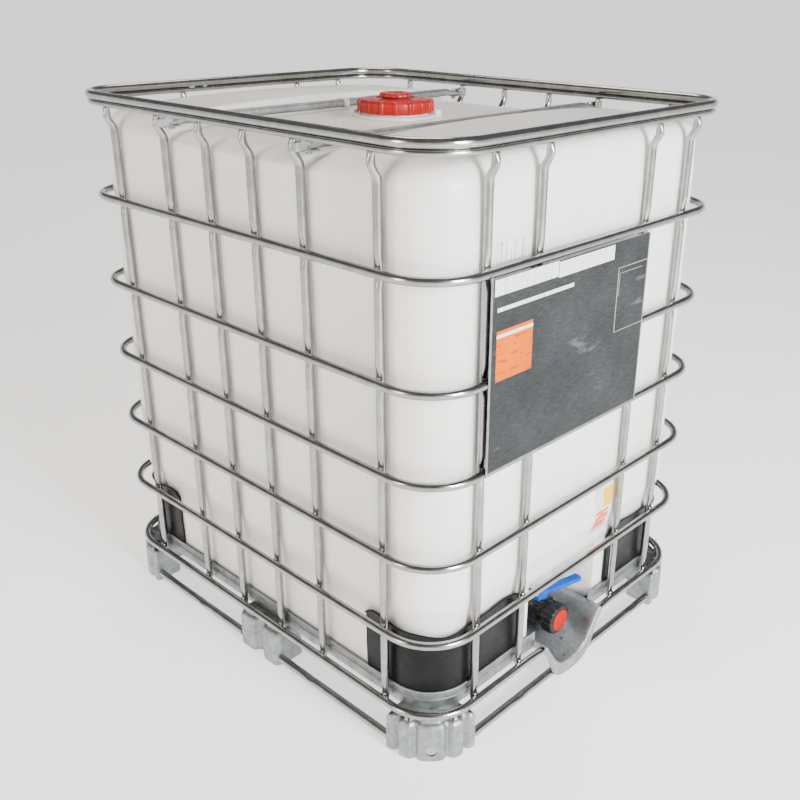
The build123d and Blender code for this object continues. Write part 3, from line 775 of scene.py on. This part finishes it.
def outlet_foot():
    """Saddle under the outlet: a trough falling to the front, with a turned-down lip on the floor."""

    def section(half_top, top, half_low, low, round_r):
        points = [Vector((-half_top - 9, top + 1.5, 0)), Vector((-half_top, top, 0))]
        points += [Vector((-half_low, low, 0)), Vector((half_low, low, 0))]
        points += [Vector((half_top, top, 0)), Vector((half_top + 9, top + 1.5, 0))]
        fine = []
        for k in range(5):
            for t in range(10):
                fine.append(points[k].lerp(points[k + 1], t / 10))
        fine.append(points[-1])
        for _ in range(round_r):
            inner = [(fine[j - 1] + fine[j] * 2 + fine[j + 1]) / 4 for j in range(1, len(fine) - 1)]
            fine = [fine[0]] + inner + [fine[-1]]
        return fine

    shape = Shape()
    rows = []
    for y in steps(-440.0, -592.0, 24):
        t = (y + 440.0) / -152.0
        fall = t ** 1.15
        curve = section(108.0 - 3 * t, 125.0, 98.0 - 50 * t, 85.3 - 50.0 * fall, 10)
        rows.append([Vector((p.x, y, p.y)) for p in curve])
    lip = section(105.0, 125.0, 48.0, 35.3, 10)
    bends = ((-595.5, 1.2), (-597.6, 3.2), (-598.6, 6.0), (-598.8, 14.0), (-598.8, 24.0), (-598.6, 33.6))
    for out, push in bends:
        row = []
        for k, p in enumerate(lip):
            a = lip[max(0, k - 1)]
            b = lip[min(len(lip) - 1, k + 1)]
            along = (b - a).normalized()
            down = Vector((along.y, -along.x))
            drop = push * (0.55 + 0.45 * bump(p.x, 46.0, 92.0))
            x = p.x + down.x * drop * 0.8
            row.append(Vector((x, out, max(1.2, p.y + down.y * drop))))
        rows.append(row)
    shape.grid(rows)
    channel = []
    for y in (-441.0, -334.0, -331.5):
        wall = 107.0 if y > -333 else 85.3
        across = ((-106.5, 109), (-106.5, wall), (106.5, wall), (106.5, 109))
        channel.append([Vector((x, y, z)) for x, z in across])
    shape.grid(channel)
    shape.place("foot_outlet", SHEET, "container", ["foot_outlet"], thickness=2.2, sharp=60.0)
    marks = Shape()
    rivet = [(0.01, -1.0), (5.4, -1.0), (5.4, 0.6), (3.8, 1.9), (0.01, 2.1)]
    for x, y, z in ((-14.0, -597.9, 20.0), (60.0, -598.2, 52.0)):
        marks.lathe(rivet, (x, y + 0.6, z), "Y", 20)
    marks.place("saddle_rivets", ZINC, "container", [])
    # The saddle's two holes are drawn as closed dark discs in the rubber material: painted shade for the
    # dark inside of open holes.
    hole_shade = Shape()
    hole_shade_disc = [(0.01, 0.1), (5.2, 0.1), (5.6, 0.9), (6.6, 1.2), (7.0, 0.2), (7.0, -1.0), (0.01, -1.0)]
    for x, y, z in ((22.0, -546.0, 53.0), (-12.0, -580.0, 39.6)):
        hole_shade.lathe(hole_shade_disc, (x, y, z), "Z", 20)
    hole_shade.place("saddle_hole_shade", RUBBER, "container", [])


def runner(name, path, dents):
    """Base tube on the floor side of the feet, with dents where it is welded."""
    shape = Shape()
    for a, b in path:
        length = (b - a).length
        count = max(8, int(length / 10))
        points = [a.lerp(b, t / count) for t in range(count + 1)]

        def section(k):
            p = points[k]
            place = p.x if abs(b.x - a.x) > 1 else p.y
            press = max([bump(place - d, 6.0, 20.0) for d in dents] + [0.0])
            return [(u * (1 + 0.06 * press), v * (1 - 0.22 * press)) for u, v in circle(RUNNER_R)]

        shape.sweep(points, section, Vector((0, 0, 1)))
    return shape.place(name, GALV, "container", [name])


def runners():
    """Four sides of base tube."""
    z = RUNNER_Z
    for name, sx in (("runner_left", -1), ("runner_right", 1)):
        x = sx * 486.0
        runner(name, [
            (Vector((x, -458.0, z)), Vector((x, -76.0, z))),
            (Vector((x, 76.0, z)), Vector((x, 458.0, z))),
        ], (-190.0, 250.0))
    runner("runner_front", [(Vector((-358.0, -586.0, z)), Vector((358.0, -586.0, z)))], (-195.0, 288.0))
    runner("runner_back", [
        (Vector((-358.0, 586.0, z)), Vector((-76.0, 586.0, z))),
        (Vector((76.0, 586.0, z)), Vector((358.0, 586.0, z))),
    ], (-210.0, 240.0))


def tray_trim():
    """Rolled rim and step of the tray, run round its wall and stopped at the outlet."""
    shape = Shape()
    loop = box_loop(461.0, 561.0, 103.0)
    points = [p for p, n in loop if not (abs(p.x) < 112 and p.y < 0)]
    cut = max(range(len(points)), key=lambda k: (points[k] - points[k - 1]).length)
    points = points[cut:] + points[:cut]
    for z, radius, swell in ((149.0, 2.6, 0.2), (131.0, 1.6, 0.9)):
        path = [Vector((p.x, p.y, z)) for p in points]
        shape.sweep(path, lambda k: [(u + swell, v) for u, v in circle(radius, 10)], Vector((0, 0, 1)))
    return shape.place("tray_trim", SHEET, "container", [])


# ------------------------------------------------------------------ bottle
SHOULDER = 1222.0
BOTTLE_NODES = ["inner_bottle", "bottle_neck"]
BOTTLE_NODES += [f"bottle_front_{place}" for place in ("left", "middle", "right")]


def roof_height(x, y):
    """Height of the bottle's top: two raised ends, a lower middle and a groove under each bar."""
    ends = ease(246.0, 300.0, abs(y))
    height = 1256.0 + 31.0 * ends
    height -= 3.0 * bump(abs(y) - BAR_Y, 14.0, 26.0)
    height -= 13.0 * (abs(x) / 470.0) ** 4 + 9.0 * ends * (x / 470.0) ** 2
    height -= 10.0 * ease(470.0, 574.0, abs(y))
    neck = math.hypot(x, y)
    height += 6.0 * (1 - ease(88.0, 128.0, neck))
    height += 3.0 * ends * math.cos(x / 92.0) * bump(abs(y) - 395.0, 30.0, 120.0)
    return height


def wall_swell(p, n, z):
    """How far the wall stands out of its plain outline: it fills the panels between the uprights."""
    side = p.y if abs(n.x) > abs(n.y) else p.x
    places = LONG_SIDE_Y if abs(n.x) > abs(n.y) else SHORT_SIDE_X
    groove = max(bump(side - place, 5.0, 34.0) for place in places)
    face = max(abs(n.x), abs(n.y))
    high = ease(318.0, 372.0, z) * (1 - 0.25 * ease(1150.0, SHOULDER, z))
    corner = 1 - ease(0.97, 0.999, face)
    low = 1 - ease(300.0, 330.0, z)
    panel = (6.5 * (1 - groove) + 7.5) * ease(0.97, 0.999, face)
    drift = 1.6 * noise.noise(Vector((p.x * 0.006, p.y * 0.006, z * 0.004)))
    return (panel + 12.5 * corner) * high + drift * high - 1.5 * low


def niche(point):
    """Pushes a point back out of the outlet niche at the foot of the front face."""
    ceiling = 252.0 + (point.y + 440.0) * -0.26
    wide = 1 - ease(116.0, 132.0, abs(point.x))
    tall = 1 - ease(ceiling - 16.0, ceiling + 6.0, point.z)
    hold = wide * tall
    back = -441.0
    if point.y < back and hold > 0:
        point.y += (back - point.y) * hold
    return point


def bottle_rows():
    """Rings of points from the middle of the base up the wall and over the top."""
    loop = box_loop(456.0, 556.0, 98.0, spacing=8.0, arc=26)
    rows = []

    def ring(z_of, inset, scale):
        row = []
        for p, n in loop:
            base = (p - n * inset) * scale
            z = z_of(base)
            spot = Vector((base.x, base.y, z))
            if scale == 1.0:
                spot += n * wall_swell(p, n, z)
            row.append(niche(spot))
        rows.append(row)

    for scale in (0.3, 0.6, 0.8, 0.9):
        ring(lambda b: 111.0, 36.0, scale)
    for t in steps(0.0, 90.0, 7):
        a = math.radians(t)
        ring(lambda b: 147.0 - 36.0 * math.cos(a), 36.0 * (1 - math.sin(a)), 1.0)
    z = 156.0
    while z < SHOULDER:
        level = z
        ring(lambda b: level, 0.0, 1.0)
        z += 7.0 if z < 380 else 14.0
    bend = 46.0
    for t in steps(0.0, 90.0, 10):
        a = math.radians(t)
        row = []
        for p, n in loop:
            swell = wall_swell(p, n, SHOULDER)
            out = p + n * (swell - bend * (1 - math.cos(a)))
            high = roof_height(out.x, out.y)
            row.append(Vector((out.x, out.y, SHOULDER + (high - SHOULDER) * math.sin(a))))
        rows.append(row)
    inner = [(p + n * (wall_swell(p, n, SHOULDER) - bend)) for p, n in loop]
    for k in range(1, 74):
        scale = 1 - k / 74.0
        row = []
        for q in inner:
            x, y = q.x * scale, q.y * scale
            row.append(Vector((x, y, roof_height(x, y))))
        rows.append(row)
    return rows


def bottle():
    """Blow-moulded bottle, its neck, outlet stub and the lug beside the cap."""
    shape = Shape()
    shape.grid(bottle_rows(), wrap=True, start=True, end=True)
    neck = [
        (80.0, 1250.0), (80.0, 1266.0), (79.0, 1268.0), (79.0, 1291.0),
        (78.2, 1292.0), (73.8, 1292.0), (73.0, 1291.0), (73.0, 1250.0),
    ]
    shape.lathe(neck, (0, 0, 0), sides=72)
    collar = [(76.0, 1255.0), (96.0, 1255.0), (96.0, 1264.0), (93.5, 1267.5), (76.0, 1268.5)]
    shape.lathe(collar, (0, 0, 0), sides=72)
    stub = [
        (25.0, 430.0), (34.0, 430.0), (34.0, 443.0), (30.5, 446.0),
        (30.0, 448.0), (30.0, 462.0), (25.0, 462.0),
    ]
    shape.lathe(stub, (0, 0, OUT_Z), "Y", 48)
    for angle in (-52.0, 128.0):
        a = math.radians(angle)
        x, y = 97.0 * math.cos(a), 97.0 * math.sin(a)
        shape.slab(x - 9, x + 9, y - 7, y + 7, 1256.0, 1277.0, 2.5)
    return shape.place("inner_bottle", HDPE, "container", BOTTLE_NODES, sharp=60.0)


def guard(name, sx, sy):
    """Moulded guard round one lower corner: lipped, wavy top edge and rounded lower ends."""
    path = []
    arc_r = 100.0
    for y in steps(362.0, 458.0, 16):
        path.append((Vector((458.0, y, 0)), Vector((1, 0, 0))))
    for t in steps(0.0, 90.0, 16)[1:]:
        n = Vector((math.cos(math.radians(t)), math.sin(math.radians(t)), 0))
        path.append((Vector((358.0, 458.0, 0)) + n * arc_r, n))
    for x in steps(358.0, 174.0, 26)[1:]:
        path.append((Vector((x, 558.0, 0)), Vector((0, 1, 0))))
    travel = [0.0]
    for k in range(1, len(path)):
        travel.append(travel[-1] + (path[k][0] - path[k - 1][0]).length)
    total = travel[-1]
    rows = []
    for (p, n), s in zip(path, travel):
        end = min(s, total - s)
        curl = 1 - math.sqrt(max(0.0, 1 - (max(0.0, 46.0 - end) / 46.0) ** 2))
        low = 111.5 + 48.0 * curl
        wave = 5.0 * math.sin(s / total * 9.0 + 0.6) + 2.5 * math.sin(s / total * 23.0)
        top = 300.0 + wave - 10.0 * (1 - ease(0.0, 16.0, end))
        levels = [(low, -1.0), (low + 4, 0.0), (low + 30, 0.0)]
        levels += [(low + (top - 12 - low) * f, 0.6 * math.sin(3.1 * f)) for f in (0.4, 0.6, 0.8, 1.0)]
        levels += [(top - 5, 0.6), (top - 1.6, 2.0), (top, 4.6), (top + 1.0, 7.0)]
        rows.append([Vector((sx * (p.x + n.x * o), sy * (p.y + n.y * o), z)) for z, o in levels])
    shape = Shape()
    shape.grid(rows)
    return shape.place(name, GUARD, "container", [name], thickness=2.8, sharp=60.0)


# ------------------------------------------------------------------ fill cap
def cap_ribs(angle, radius, height):
    """Narrow grip ribs round the skirt of the fill cap."""
    if radius < 84.0:
        return radius
    wave = 0.5 + 0.5 * math.cos(16 * angle)
    return radius - 3.2 * (1 - ease(0.74, 0.92, wave))


def fill_cap():
    """Screw cap: ribbed skirt, rounded shoulder, shallow dome round the vent."""
    profile = [
        (80.4, 1272.4), (86.0, 1272.0), (88.2, 1273.4), (88.8, 1277.0), (88.8, 1293.0), (88.0, 1296.4),
        (86.0, 1299.0), (83.0, 1300.6), (74.0, 1301.8), (58.0, 1302.8), (46.0, 1303.0), (44.4, 1302.2),
        (43.8, 1300.8), (29.0, 1300.6), (28.4, 1300.0), (28.4, 1295.2), (80.0, 1295.2), (80.4, 1294.0),
    ]
    shape = Shape()
    shape.lathe(profile, (0, 0, 0), sides=256, reach=cap_ribs)
    return shape.place("fill_cap", RED, "fill_cap", ["fill_cap"], sharp=40.0)


def plug_grip(angle, radius, height):
    """Slight flats round the vent plug's head."""
    if radius < 34.0:
        return radius
    return radius - 1.0 * (1 - ease(0.1, 0.5, 0.5 + 0.5 * math.cos(12 * angle)))


def vent_plug():
    """Vent plug: low rounded head with a shallow key recess."""
    profile = [
        (0.01, 1295.2), (27.6, 1295.2), (28.0, 1296.0), (28.0, 1304.2),
        (36.0, 1304.4), (37.6, 1305.6), (37.8, 1309.4),
        (36.8, 1312.0), (34.4, 1313.6), (30.0, 1314.4), (21.0, 1314.4),
        (20.0, 1313.8), (19.4, 1312.0), (0.01, 1311.8),
    ]
    shape = Shape()
    shape.lathe(profile, (0, 0, 0), sides=160, reach=plug_grip)
    return shape.place("vent_plug", RED, "vent_plug", ["vent_plug"], sharp=40.0)


# ------------------------------------------------------------------ outlet valve
def ribbed(count, low, depth):
    """Radius law for a knurled collar: ribs outside radius low."""
    def law(angle, radius, height):
        if radius < low:
            return radius
        return radius - depth * (1 - ease(0.35, 0.6, 0.5 + 0.5 * math.cos(count * angle)))
    return law


def valve_housing():
    """Black housing: flange, barrel with strengthening bands, tower and threaded mouth."""
    shape = Shape()
    barrel = [
        (25.0, 464.0), (35.6, 464.0), (36.0, 464.8), (36.0, 471.6), (34.2, 472.4), (33.4, 476.0),
        (33.4, 484.0), (34.0, 485.0), (34.0, 489.0), (33.2, 490.0), (33.2, 503.0), (34.0, 504.0),
        (34.0, 510.0), (33.2, 511.0), (33.2, 518.0), (32.4, 520.0), (29.2, 520.6), (29.2, 523.0),
    ]
    for crest in (525.0, 530.0, 535.0):
        barrel += [(29.75, crest), (28.8, crest + 2.5)]
    barrel += [
        (29.75, 540.0), (29.0, 544.0), (28.4, 545.0), (26.6, 545.0),
        (26.0, 544.4), (26.0, 525.0), (25.0, 524.6),
    ]
    shape.lathe(barrel, (0, 0, OUT_Z), "Y", 72)
    tower = [
        (6.1, 148.0), (19.0, 148.0), (17.0, 155.0), (15.2, 158.0), (15.0, 162.4),
        (14.4, 163.0), (8.3, 163.0), (8.2, 159.2), (6.1, 159.0),
    ]
    shape.lathe(tower, (0, STEM_Y, 0), sides=48)
    for side in (-1, 1):
        x0, x1 = sorted((side * 20.0, side * 33.0))
        shape.slab(x0, x1, -512.0, -480.0, 128.0, 152.0, 2.0)
    shape.slab(-24.0, 24.0, -508.0, -484.0, 144.0, 156.0, 2.5)
    shape.slab(-30.0, 30.0, -510.0, -482.0, 91.0, 108.0, 3.0)
    return shape.place("valve_body", BLACK, "container", ["valve_body"], sharp=40.0)


def union_nut():
    """Ribbed nut between the bottle and the valve."""
    profile = [
        (30.5, 449.0), (34.0, 448.0), (37.6, 449.0), (38.4, 451.0),
        (38.4, 473.0), (37.6, 475.6), (36.0, 477.0),
        (34.4, 477.0), (36.4, 473.0), (36.4, 464.0), (30.5, 463.6),
    ]
    shape = Shape()
    shape.lathe(profile, (0, 0, OUT_Z), "Y", 192, ribbed(24, 35.5, 1.6))
    return shape.place("union_nut", BLACK, "container", ["union_nut"], sharp=40.0)


def outlet_cap():
    """Ribbed outlet cap with a seat for its coloured disc."""
    profile = [
        (30.2, 523.6), (37.0, 523.0), (39.0, 524.0), (39.8, 526.0),
        (39.8, 549.0), (38.8, 552.6), (36.6, 554.6),
        (34.0, 556.2), (31.0, 557.0), (29.0, 557.0), (28.2, 556.0),
        (28.2, 554.1), (0.01, 554.0), (0.01, 547.2),
        (30.0, 547.2), (30.2, 546.4),
    ]
    shape = Shape()
    shape.lathe(profile, (0, 0, OUT_Z), "Y", 192, ribbed(16, 36.8, 2.2))
    return shape.place("outlet_cap", BLACK, "outlet_cap", ["outlet_cap"], sharp=40.0)


def outlet_disc():
    """Red disc in the outlet cap, with a raised ring and a shallow middle."""
    profile = [
        (0.01, 554.1), (27.6, 554.1), (28.0, 555.0), (28.0, 557.6),
        (27.0, 558.8), (24.6, 559.0), (23.4, 558.4),
        (22.4, 557.6), (11.0, 557.4), (10.0, 558.4), (8.0, 558.8), (0.01, 558.8),
    ]
    shape = Shape()
    shape.lathe(profile, (0, 0, OUT_Z), "Y", 64)
    return shape.place("outlet_cap_disc", BRIGHT_RED, "outlet_cap", ["outlet_cap_disc"])


def lever():
    """Blue quarter-turn lever: hub, blade set forward of square with a ribbed grip, guide for the tab."""
    shape = Shape()
    stations = (
        (-6.0, 12.4, 171.0, 184.0), (8.0, 13.0, 170.8, 184.2),
        (30.0, 13.0, 170.8, 184.2), (50.0, 12.8, 171.0, 184.2),
        (70.0, 12.4, 172.2, 185.0), (90.0, 12.4, 173.4, 185.8),
        (104.0, 12.8, 174.2, 186.5), (112.0, 12.6, 174.8, 186.9),
        (116.0, 11.6, 175.8, 186.6), (118.0, 9.2, 177.6, 185.4),
    )
    rows = []
    for x, wide, low, high in stations:
        section = soft_box(wide, (high - low) / 2, 24, 0.45)
        rows.append([Vector((x, u, (low + high) / 2 + v)) for u, v in section])
    shape.grid(rows, wrap=True, start=True, end=True)
    for k in range(5):
        x = 84.0 + 6.0 * k
        z = 185.4 + (x - 84.0) * 0.045
        shape.slab(x - 1.0, x + 1.0, -8.5, 8.5, z - 1.0, z + 1.2, 0.5)
    turn = Matrix.Rotation(math.radians(-BLADE_TURN), 3, "Z")
    shape.verts = [turn @ Vector(v) + Vector((0, STEM_Y, 0)) for v in shape.verts]
    hub = [
        (6.0, 164.2), (16.4, 164.2), (17.0, 165.0), (17.0, 186.0),
        (15.8, 187.6), (13.6, 188.2), (6.6, 188.2),
        (6.0, 187.4),
    ]
    shape.lathe(hub, (0, STEM_Y, 0), sides=56)
    for y in (STEM_Y - 11.0, STEM_Y + 11.0):
        shape.slab(-25.0, -12.0, y - 1.4, y + 1.4, 165.2, 184.0, 0.8)
    shape.slab(-25.0, -22.4, STEM_Y - 12, STEM_Y + 12, 165.2, 176.0, 0.8)
    return shape.place("lever_handle", BLUE, "lever", ["lever_handle"], sharp=40.0)


def lock_tab():
    """Yellow tab with a rounded thumb pad."""
    shape = Shape()
    shape.slab(-22.0, -18.0, STEM_Y - 9.0, STEM_Y + 9.0, 164.4, 190.0, 1.0)
    shape.slab(-26.0, -16.0, STEM_Y - 10.0, STEM_Y + 10.0, 187.6, 193.0, 2.0)
    for z in (178.0, 181.5, 185.0):
        shape.slab(-22.8, -21.4, STEM_Y - 7.0, STEM_Y + 7.0, z - 0.8, z + 0.8, 0.4)
    return shape.place("lock_tab", YELLOW, "lock_tab", ["lock_tab"])


# ------------------------------------------------------------------ plates and labels
def label_plate():
    """Sheet plate with bare edges, folded hooks and a dark film that stops short of its borders."""
    metal = Shape()
    metal.slab(-355.0, 172.0, -599.5, -599.0, 669.0, 1062.6, 0.1)
    metal.slab(-355.0, -351.0, -599.9, -599.0, 669.0, 1070.0, 0.15)
    metal.slab(-352.0, 172.0, -599.85, -599.0, 669.0, 673.0, 0.15)
    metal.slab(169.5, 172.0, -599.85, -599.0, 669.0, 1062.6, 0.15)
    metal.place("label_plate", SHEET, "container", ["label_plate"])
    film = Shape()
    rows = []
    for z in steps(675.0, 1061.5, 40):
        row = []
        for x in steps(-349.0, 168.5, 50):
            ripple = 0.10 * noise.noise(Vector((x * 0.02, z * 0.015, 3.0)))
            row.append(Vector((x, -599.68 + ripple, z)))
        rows.append(row)
    film.grid(rows)
    film.place("plate_film", FILM, "container", [])
    marks = Shape()
    for x0, x1, z0, z1 in (
        (58.0, 60.0, 862.0, 1004.0), (64.0, 65.2, 940.0, 992.0), (58.0, 168.0, 1003.0, 1004.4),
        (58.0, 168.0, 862.0, 863.2), (64.0, 150.0, 991.0, 992.0),
    ):
        marks.slab(x0, x1, -599.86, -599.7, z0, z1, 0.05)
    marks.place("film_frame_lines", GREY, "container", [])


def sticker(name, spots, material, nodes):
    """Flat labels on the plate, each with a softened edge."""
    shape = Shape()
    for x0, x1, z0, z1, y in spots:
        shape.slab(x0, x1, y - 0.22, y, z0, z1, 0.1)
    return shape.place(name, material, "container", nodes)


def wall_sticker(name, x0, x1, z0, z1, lift, material, nodes):
    """Label laid on the front wall of the bottle, following its swell."""
    outward = Vector((0, -1, 0))
    rows = []
    for z in steps(z0, z1, 14):
        row = []
        for x in steps(x0, x1, 10):
            foot = Vector((x, -556.0, 0))
            row.append(foot + outward * (wall_swell(foot, outward, z) + lift) + Vector((0, 0, z)))
        rows.append(row)
    shape = Shape()
    shape.grid(rows)
    return shape.place(name, material, "container", nodes, thickness=0.2)


def labels():
    """Generic labels: two white strips and an orange panel on the plate, two on the bottle."""
    face = -599.74
    sticker("plate_labels", (
        (-345, -155, 1030, 1061, face), (-153, 37, 1027, 1058, face),
        (-336, -228, 948, 955, face - 0.03),
    ), PAPER, ["plate_labels"])
    sticker("orange_label", ((-336, -228, 862, 962, face + 0.02),), ORANGE, [])
    sticker("peeled_edge", ((-336, -101, 999, 1007, face),), PAPER, [])
    wall_sticker("bottle_label_code", -306, -222, 1078, 1114, 0.5, CODE, ["bottle_labels"])
    wall_sticker("bottle_label_panel", 98, 178, 324, 455, 0.5, PAPER, [])
    wall_sticker("bottle_label_red", 101, 150, 332, 386, 0.8, MULTI, [])
    wall_sticker("bottle_label_yellow", 126, 175, 392, 444, 0.8, AMBER, [])


def dress_cad_nodes():
    """Carried-over CAD nodes: their shape is right, so they only get a finished material."""
    choices = {
        "tray": SHEET,
        "cap_gasket": RUBBER,
        "vent_seal": RUBBER,
        "valve_gasket": RUBBER,
        "stem_seal": RUBBER,
        "outlet_gasket": RUBBER,
        "valve_stem": ZINC,
        "valve_disc": GREY,
        "lever_screw": ZINC,
    }
    for node, material in choices.items():
        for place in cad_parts[node].material_slots:
            place.material = material


# ------------------------------------------------------------------ stage
def floor():
    """Plain pale floor, turned up a little far away so that no edge shows."""
    shape = Shape()
    dish = ((10.0, -0.5), (30000.0, -0.5), (45000.0, 4000.0), (60000.0, 15000.0))
    rows = [[Vector((r * x, r * y, z)) for x, y in circle(1.0, 48)] for r, z in dish]
    shape.grid(rows, wrap=True, start=True)
    mesh = bpy.data.meshes.new("floor")
    mesh.from_pydata([Vector(v) * MM for v in shape.verts], [], shape.faces)
    obj = bpy.data.objects.new("floor", mesh)
    bpy.context.scene.collection.objects.link(obj)
    paint = Paint("floor", roughness=0.9)
    paint.colour(paint.ramp(paint.noise(0.8, 2.0), 0.3, 0.7, (0.90, 0.90, 0.90), (0.94, 0.94, 0.94)))
    paint.shader.inputs["Emission Color"].default_value = (1.0, 1.0, 1.0, 1.0)
    paint.shader.inputs["Emission Strength"].default_value = 1.05
    mesh.materials.append(paint.material)


def area_light(name, place, target, size, energy, colour=(1, 1, 1)):
    """Soft box aimed at a point."""
    data = bpy.data.lights.new(name, "AREA")
    data.shape = "RECTANGLE"
    data.size, data.size_y = size
    data.energy = energy
    data.color = colour
    lamp = bpy.data.objects.new(name, data)
    lamp.location = place
    lamp.rotation_euler = (Vector(target) - Vector(place)).to_track_quat("-Z", "Y").to_euler()
    bpy.context.scene.collection.objects.link(lamp)


def lights():
    """Soft studio light: bright on the front face, warm and weaker on the long side, dark surroundings."""
    world = bpy.data.worlds.new("studio")
    world.use_nodes = True
    world.node_tree.nodes["Background"].inputs["Color"].default_value = (0.96, 0.98, 1.0, 1.0)
    world.node_tree.nodes["Background"].inputs["Strength"].default_value = 0.22
    bpy.context.scene.world = world
    area_light("key", (-0.5, -5.2, 2.4), (0.0, 0.0, 0.6), (1.6, 2.6), 640.0)
    area_light("side", (-4.8, 0.8, 2.2), (0.0, 0.0, 0.6), (1.2, 2.4), 120.0, (1.0, 0.84, 0.68))
    area_light("top", (0.9, 1.4, 4.4), (0.0, 0.0, 0.8), (1.8, 1.8), 80.0, (1.0, 0.87, 0.74))


def camera():
    """Camera at the matched place: right, down and forward are its axes in the frame."""
    right = Vector((0.685239, -0.728278, 0.007655))
    forward = Vector((0.668081, 0.624344, -0.404799))
    down = forward.cross(right)
    turn = Matrix((right, -down, -forward)).transposed().to_4x4()
    data = bpy.data.cameras.new("camera")
    data.lens = 42.66
    data.sensor_width = 36.0
    data.shift_x = -0.0438
    data.shift_y = 0.0073
    data.clip_end = 200.0
    obj = bpy.data.objects.new("camera", data)
    obj.matrix_world = Matrix.Translation((-1.60642, -1.63431, 1.53824)) @ turn
    bpy.context.scene.collection.objects.link(obj)
    bpy.context.scene.camera = obj


# ------------------------------------------------------------------ build
camera()
lights()
floor()
ring_piece("rim_tube", RIM_Z, 9.9)
ring_piece("rim_bead", BEAD_Z, 6.2)
for index, level in enumerate(RING_Z):
    ring_piece(f"cage_ring_{index + 1}", level, TUBE_R)
rail_piece()
uprights("uprights_left", 0, LONG_SIDE_Y)
uprights("uprights_right", 180, LONG_SIDE_Y)
uprights("uprights_front", 90, SHORT_SIDE_X)
uprights("uprights_back", 270, SHORT_SIDE_X)
weld_spots()
cross_bar("cross_bar_front", -BAR_Y)
cross_bar("cross_bar_back", BAR_Y)
bar_fittings()
corner = corner_outline()
CORNERS = (("front_left", -1, -1), ("front_right", 1, -1), ("back_left", -1, 1), ("back_right", 1, 1))
for label, sx, sy in CORNERS:
    spot, way = foot_hole_place(sx, sy)
    foot_shell(f"foot_{label}", corner, sx, sy, hole=(spot, way, HOLE_R))
    foot_hole_rim(sx, sy).place(f"foot_hole_{label}", SHEET, "container", [], thickness=0.8)
    guard(f"guard_{label}", sx, sy)
middle = middle_outline()
foot_shell("foot_middle_right", middle, 1, 1)
foot_shell("foot_middle_left", middle, -1, 1)
foot_shell("foot_middle_back", [(p + Vector((100, 0, 0)), n) for p, n in middle], 1, 1, 90.0)
outlet_foot()
runners()
tray_trim()
bottle()
fill_cap()
vent_plug()
valve_housing()
union_nut()
outlet_cap()
outlet_disc()
lever()
lock_tab()
label_plate()
labels()
dress_cad_nodes()
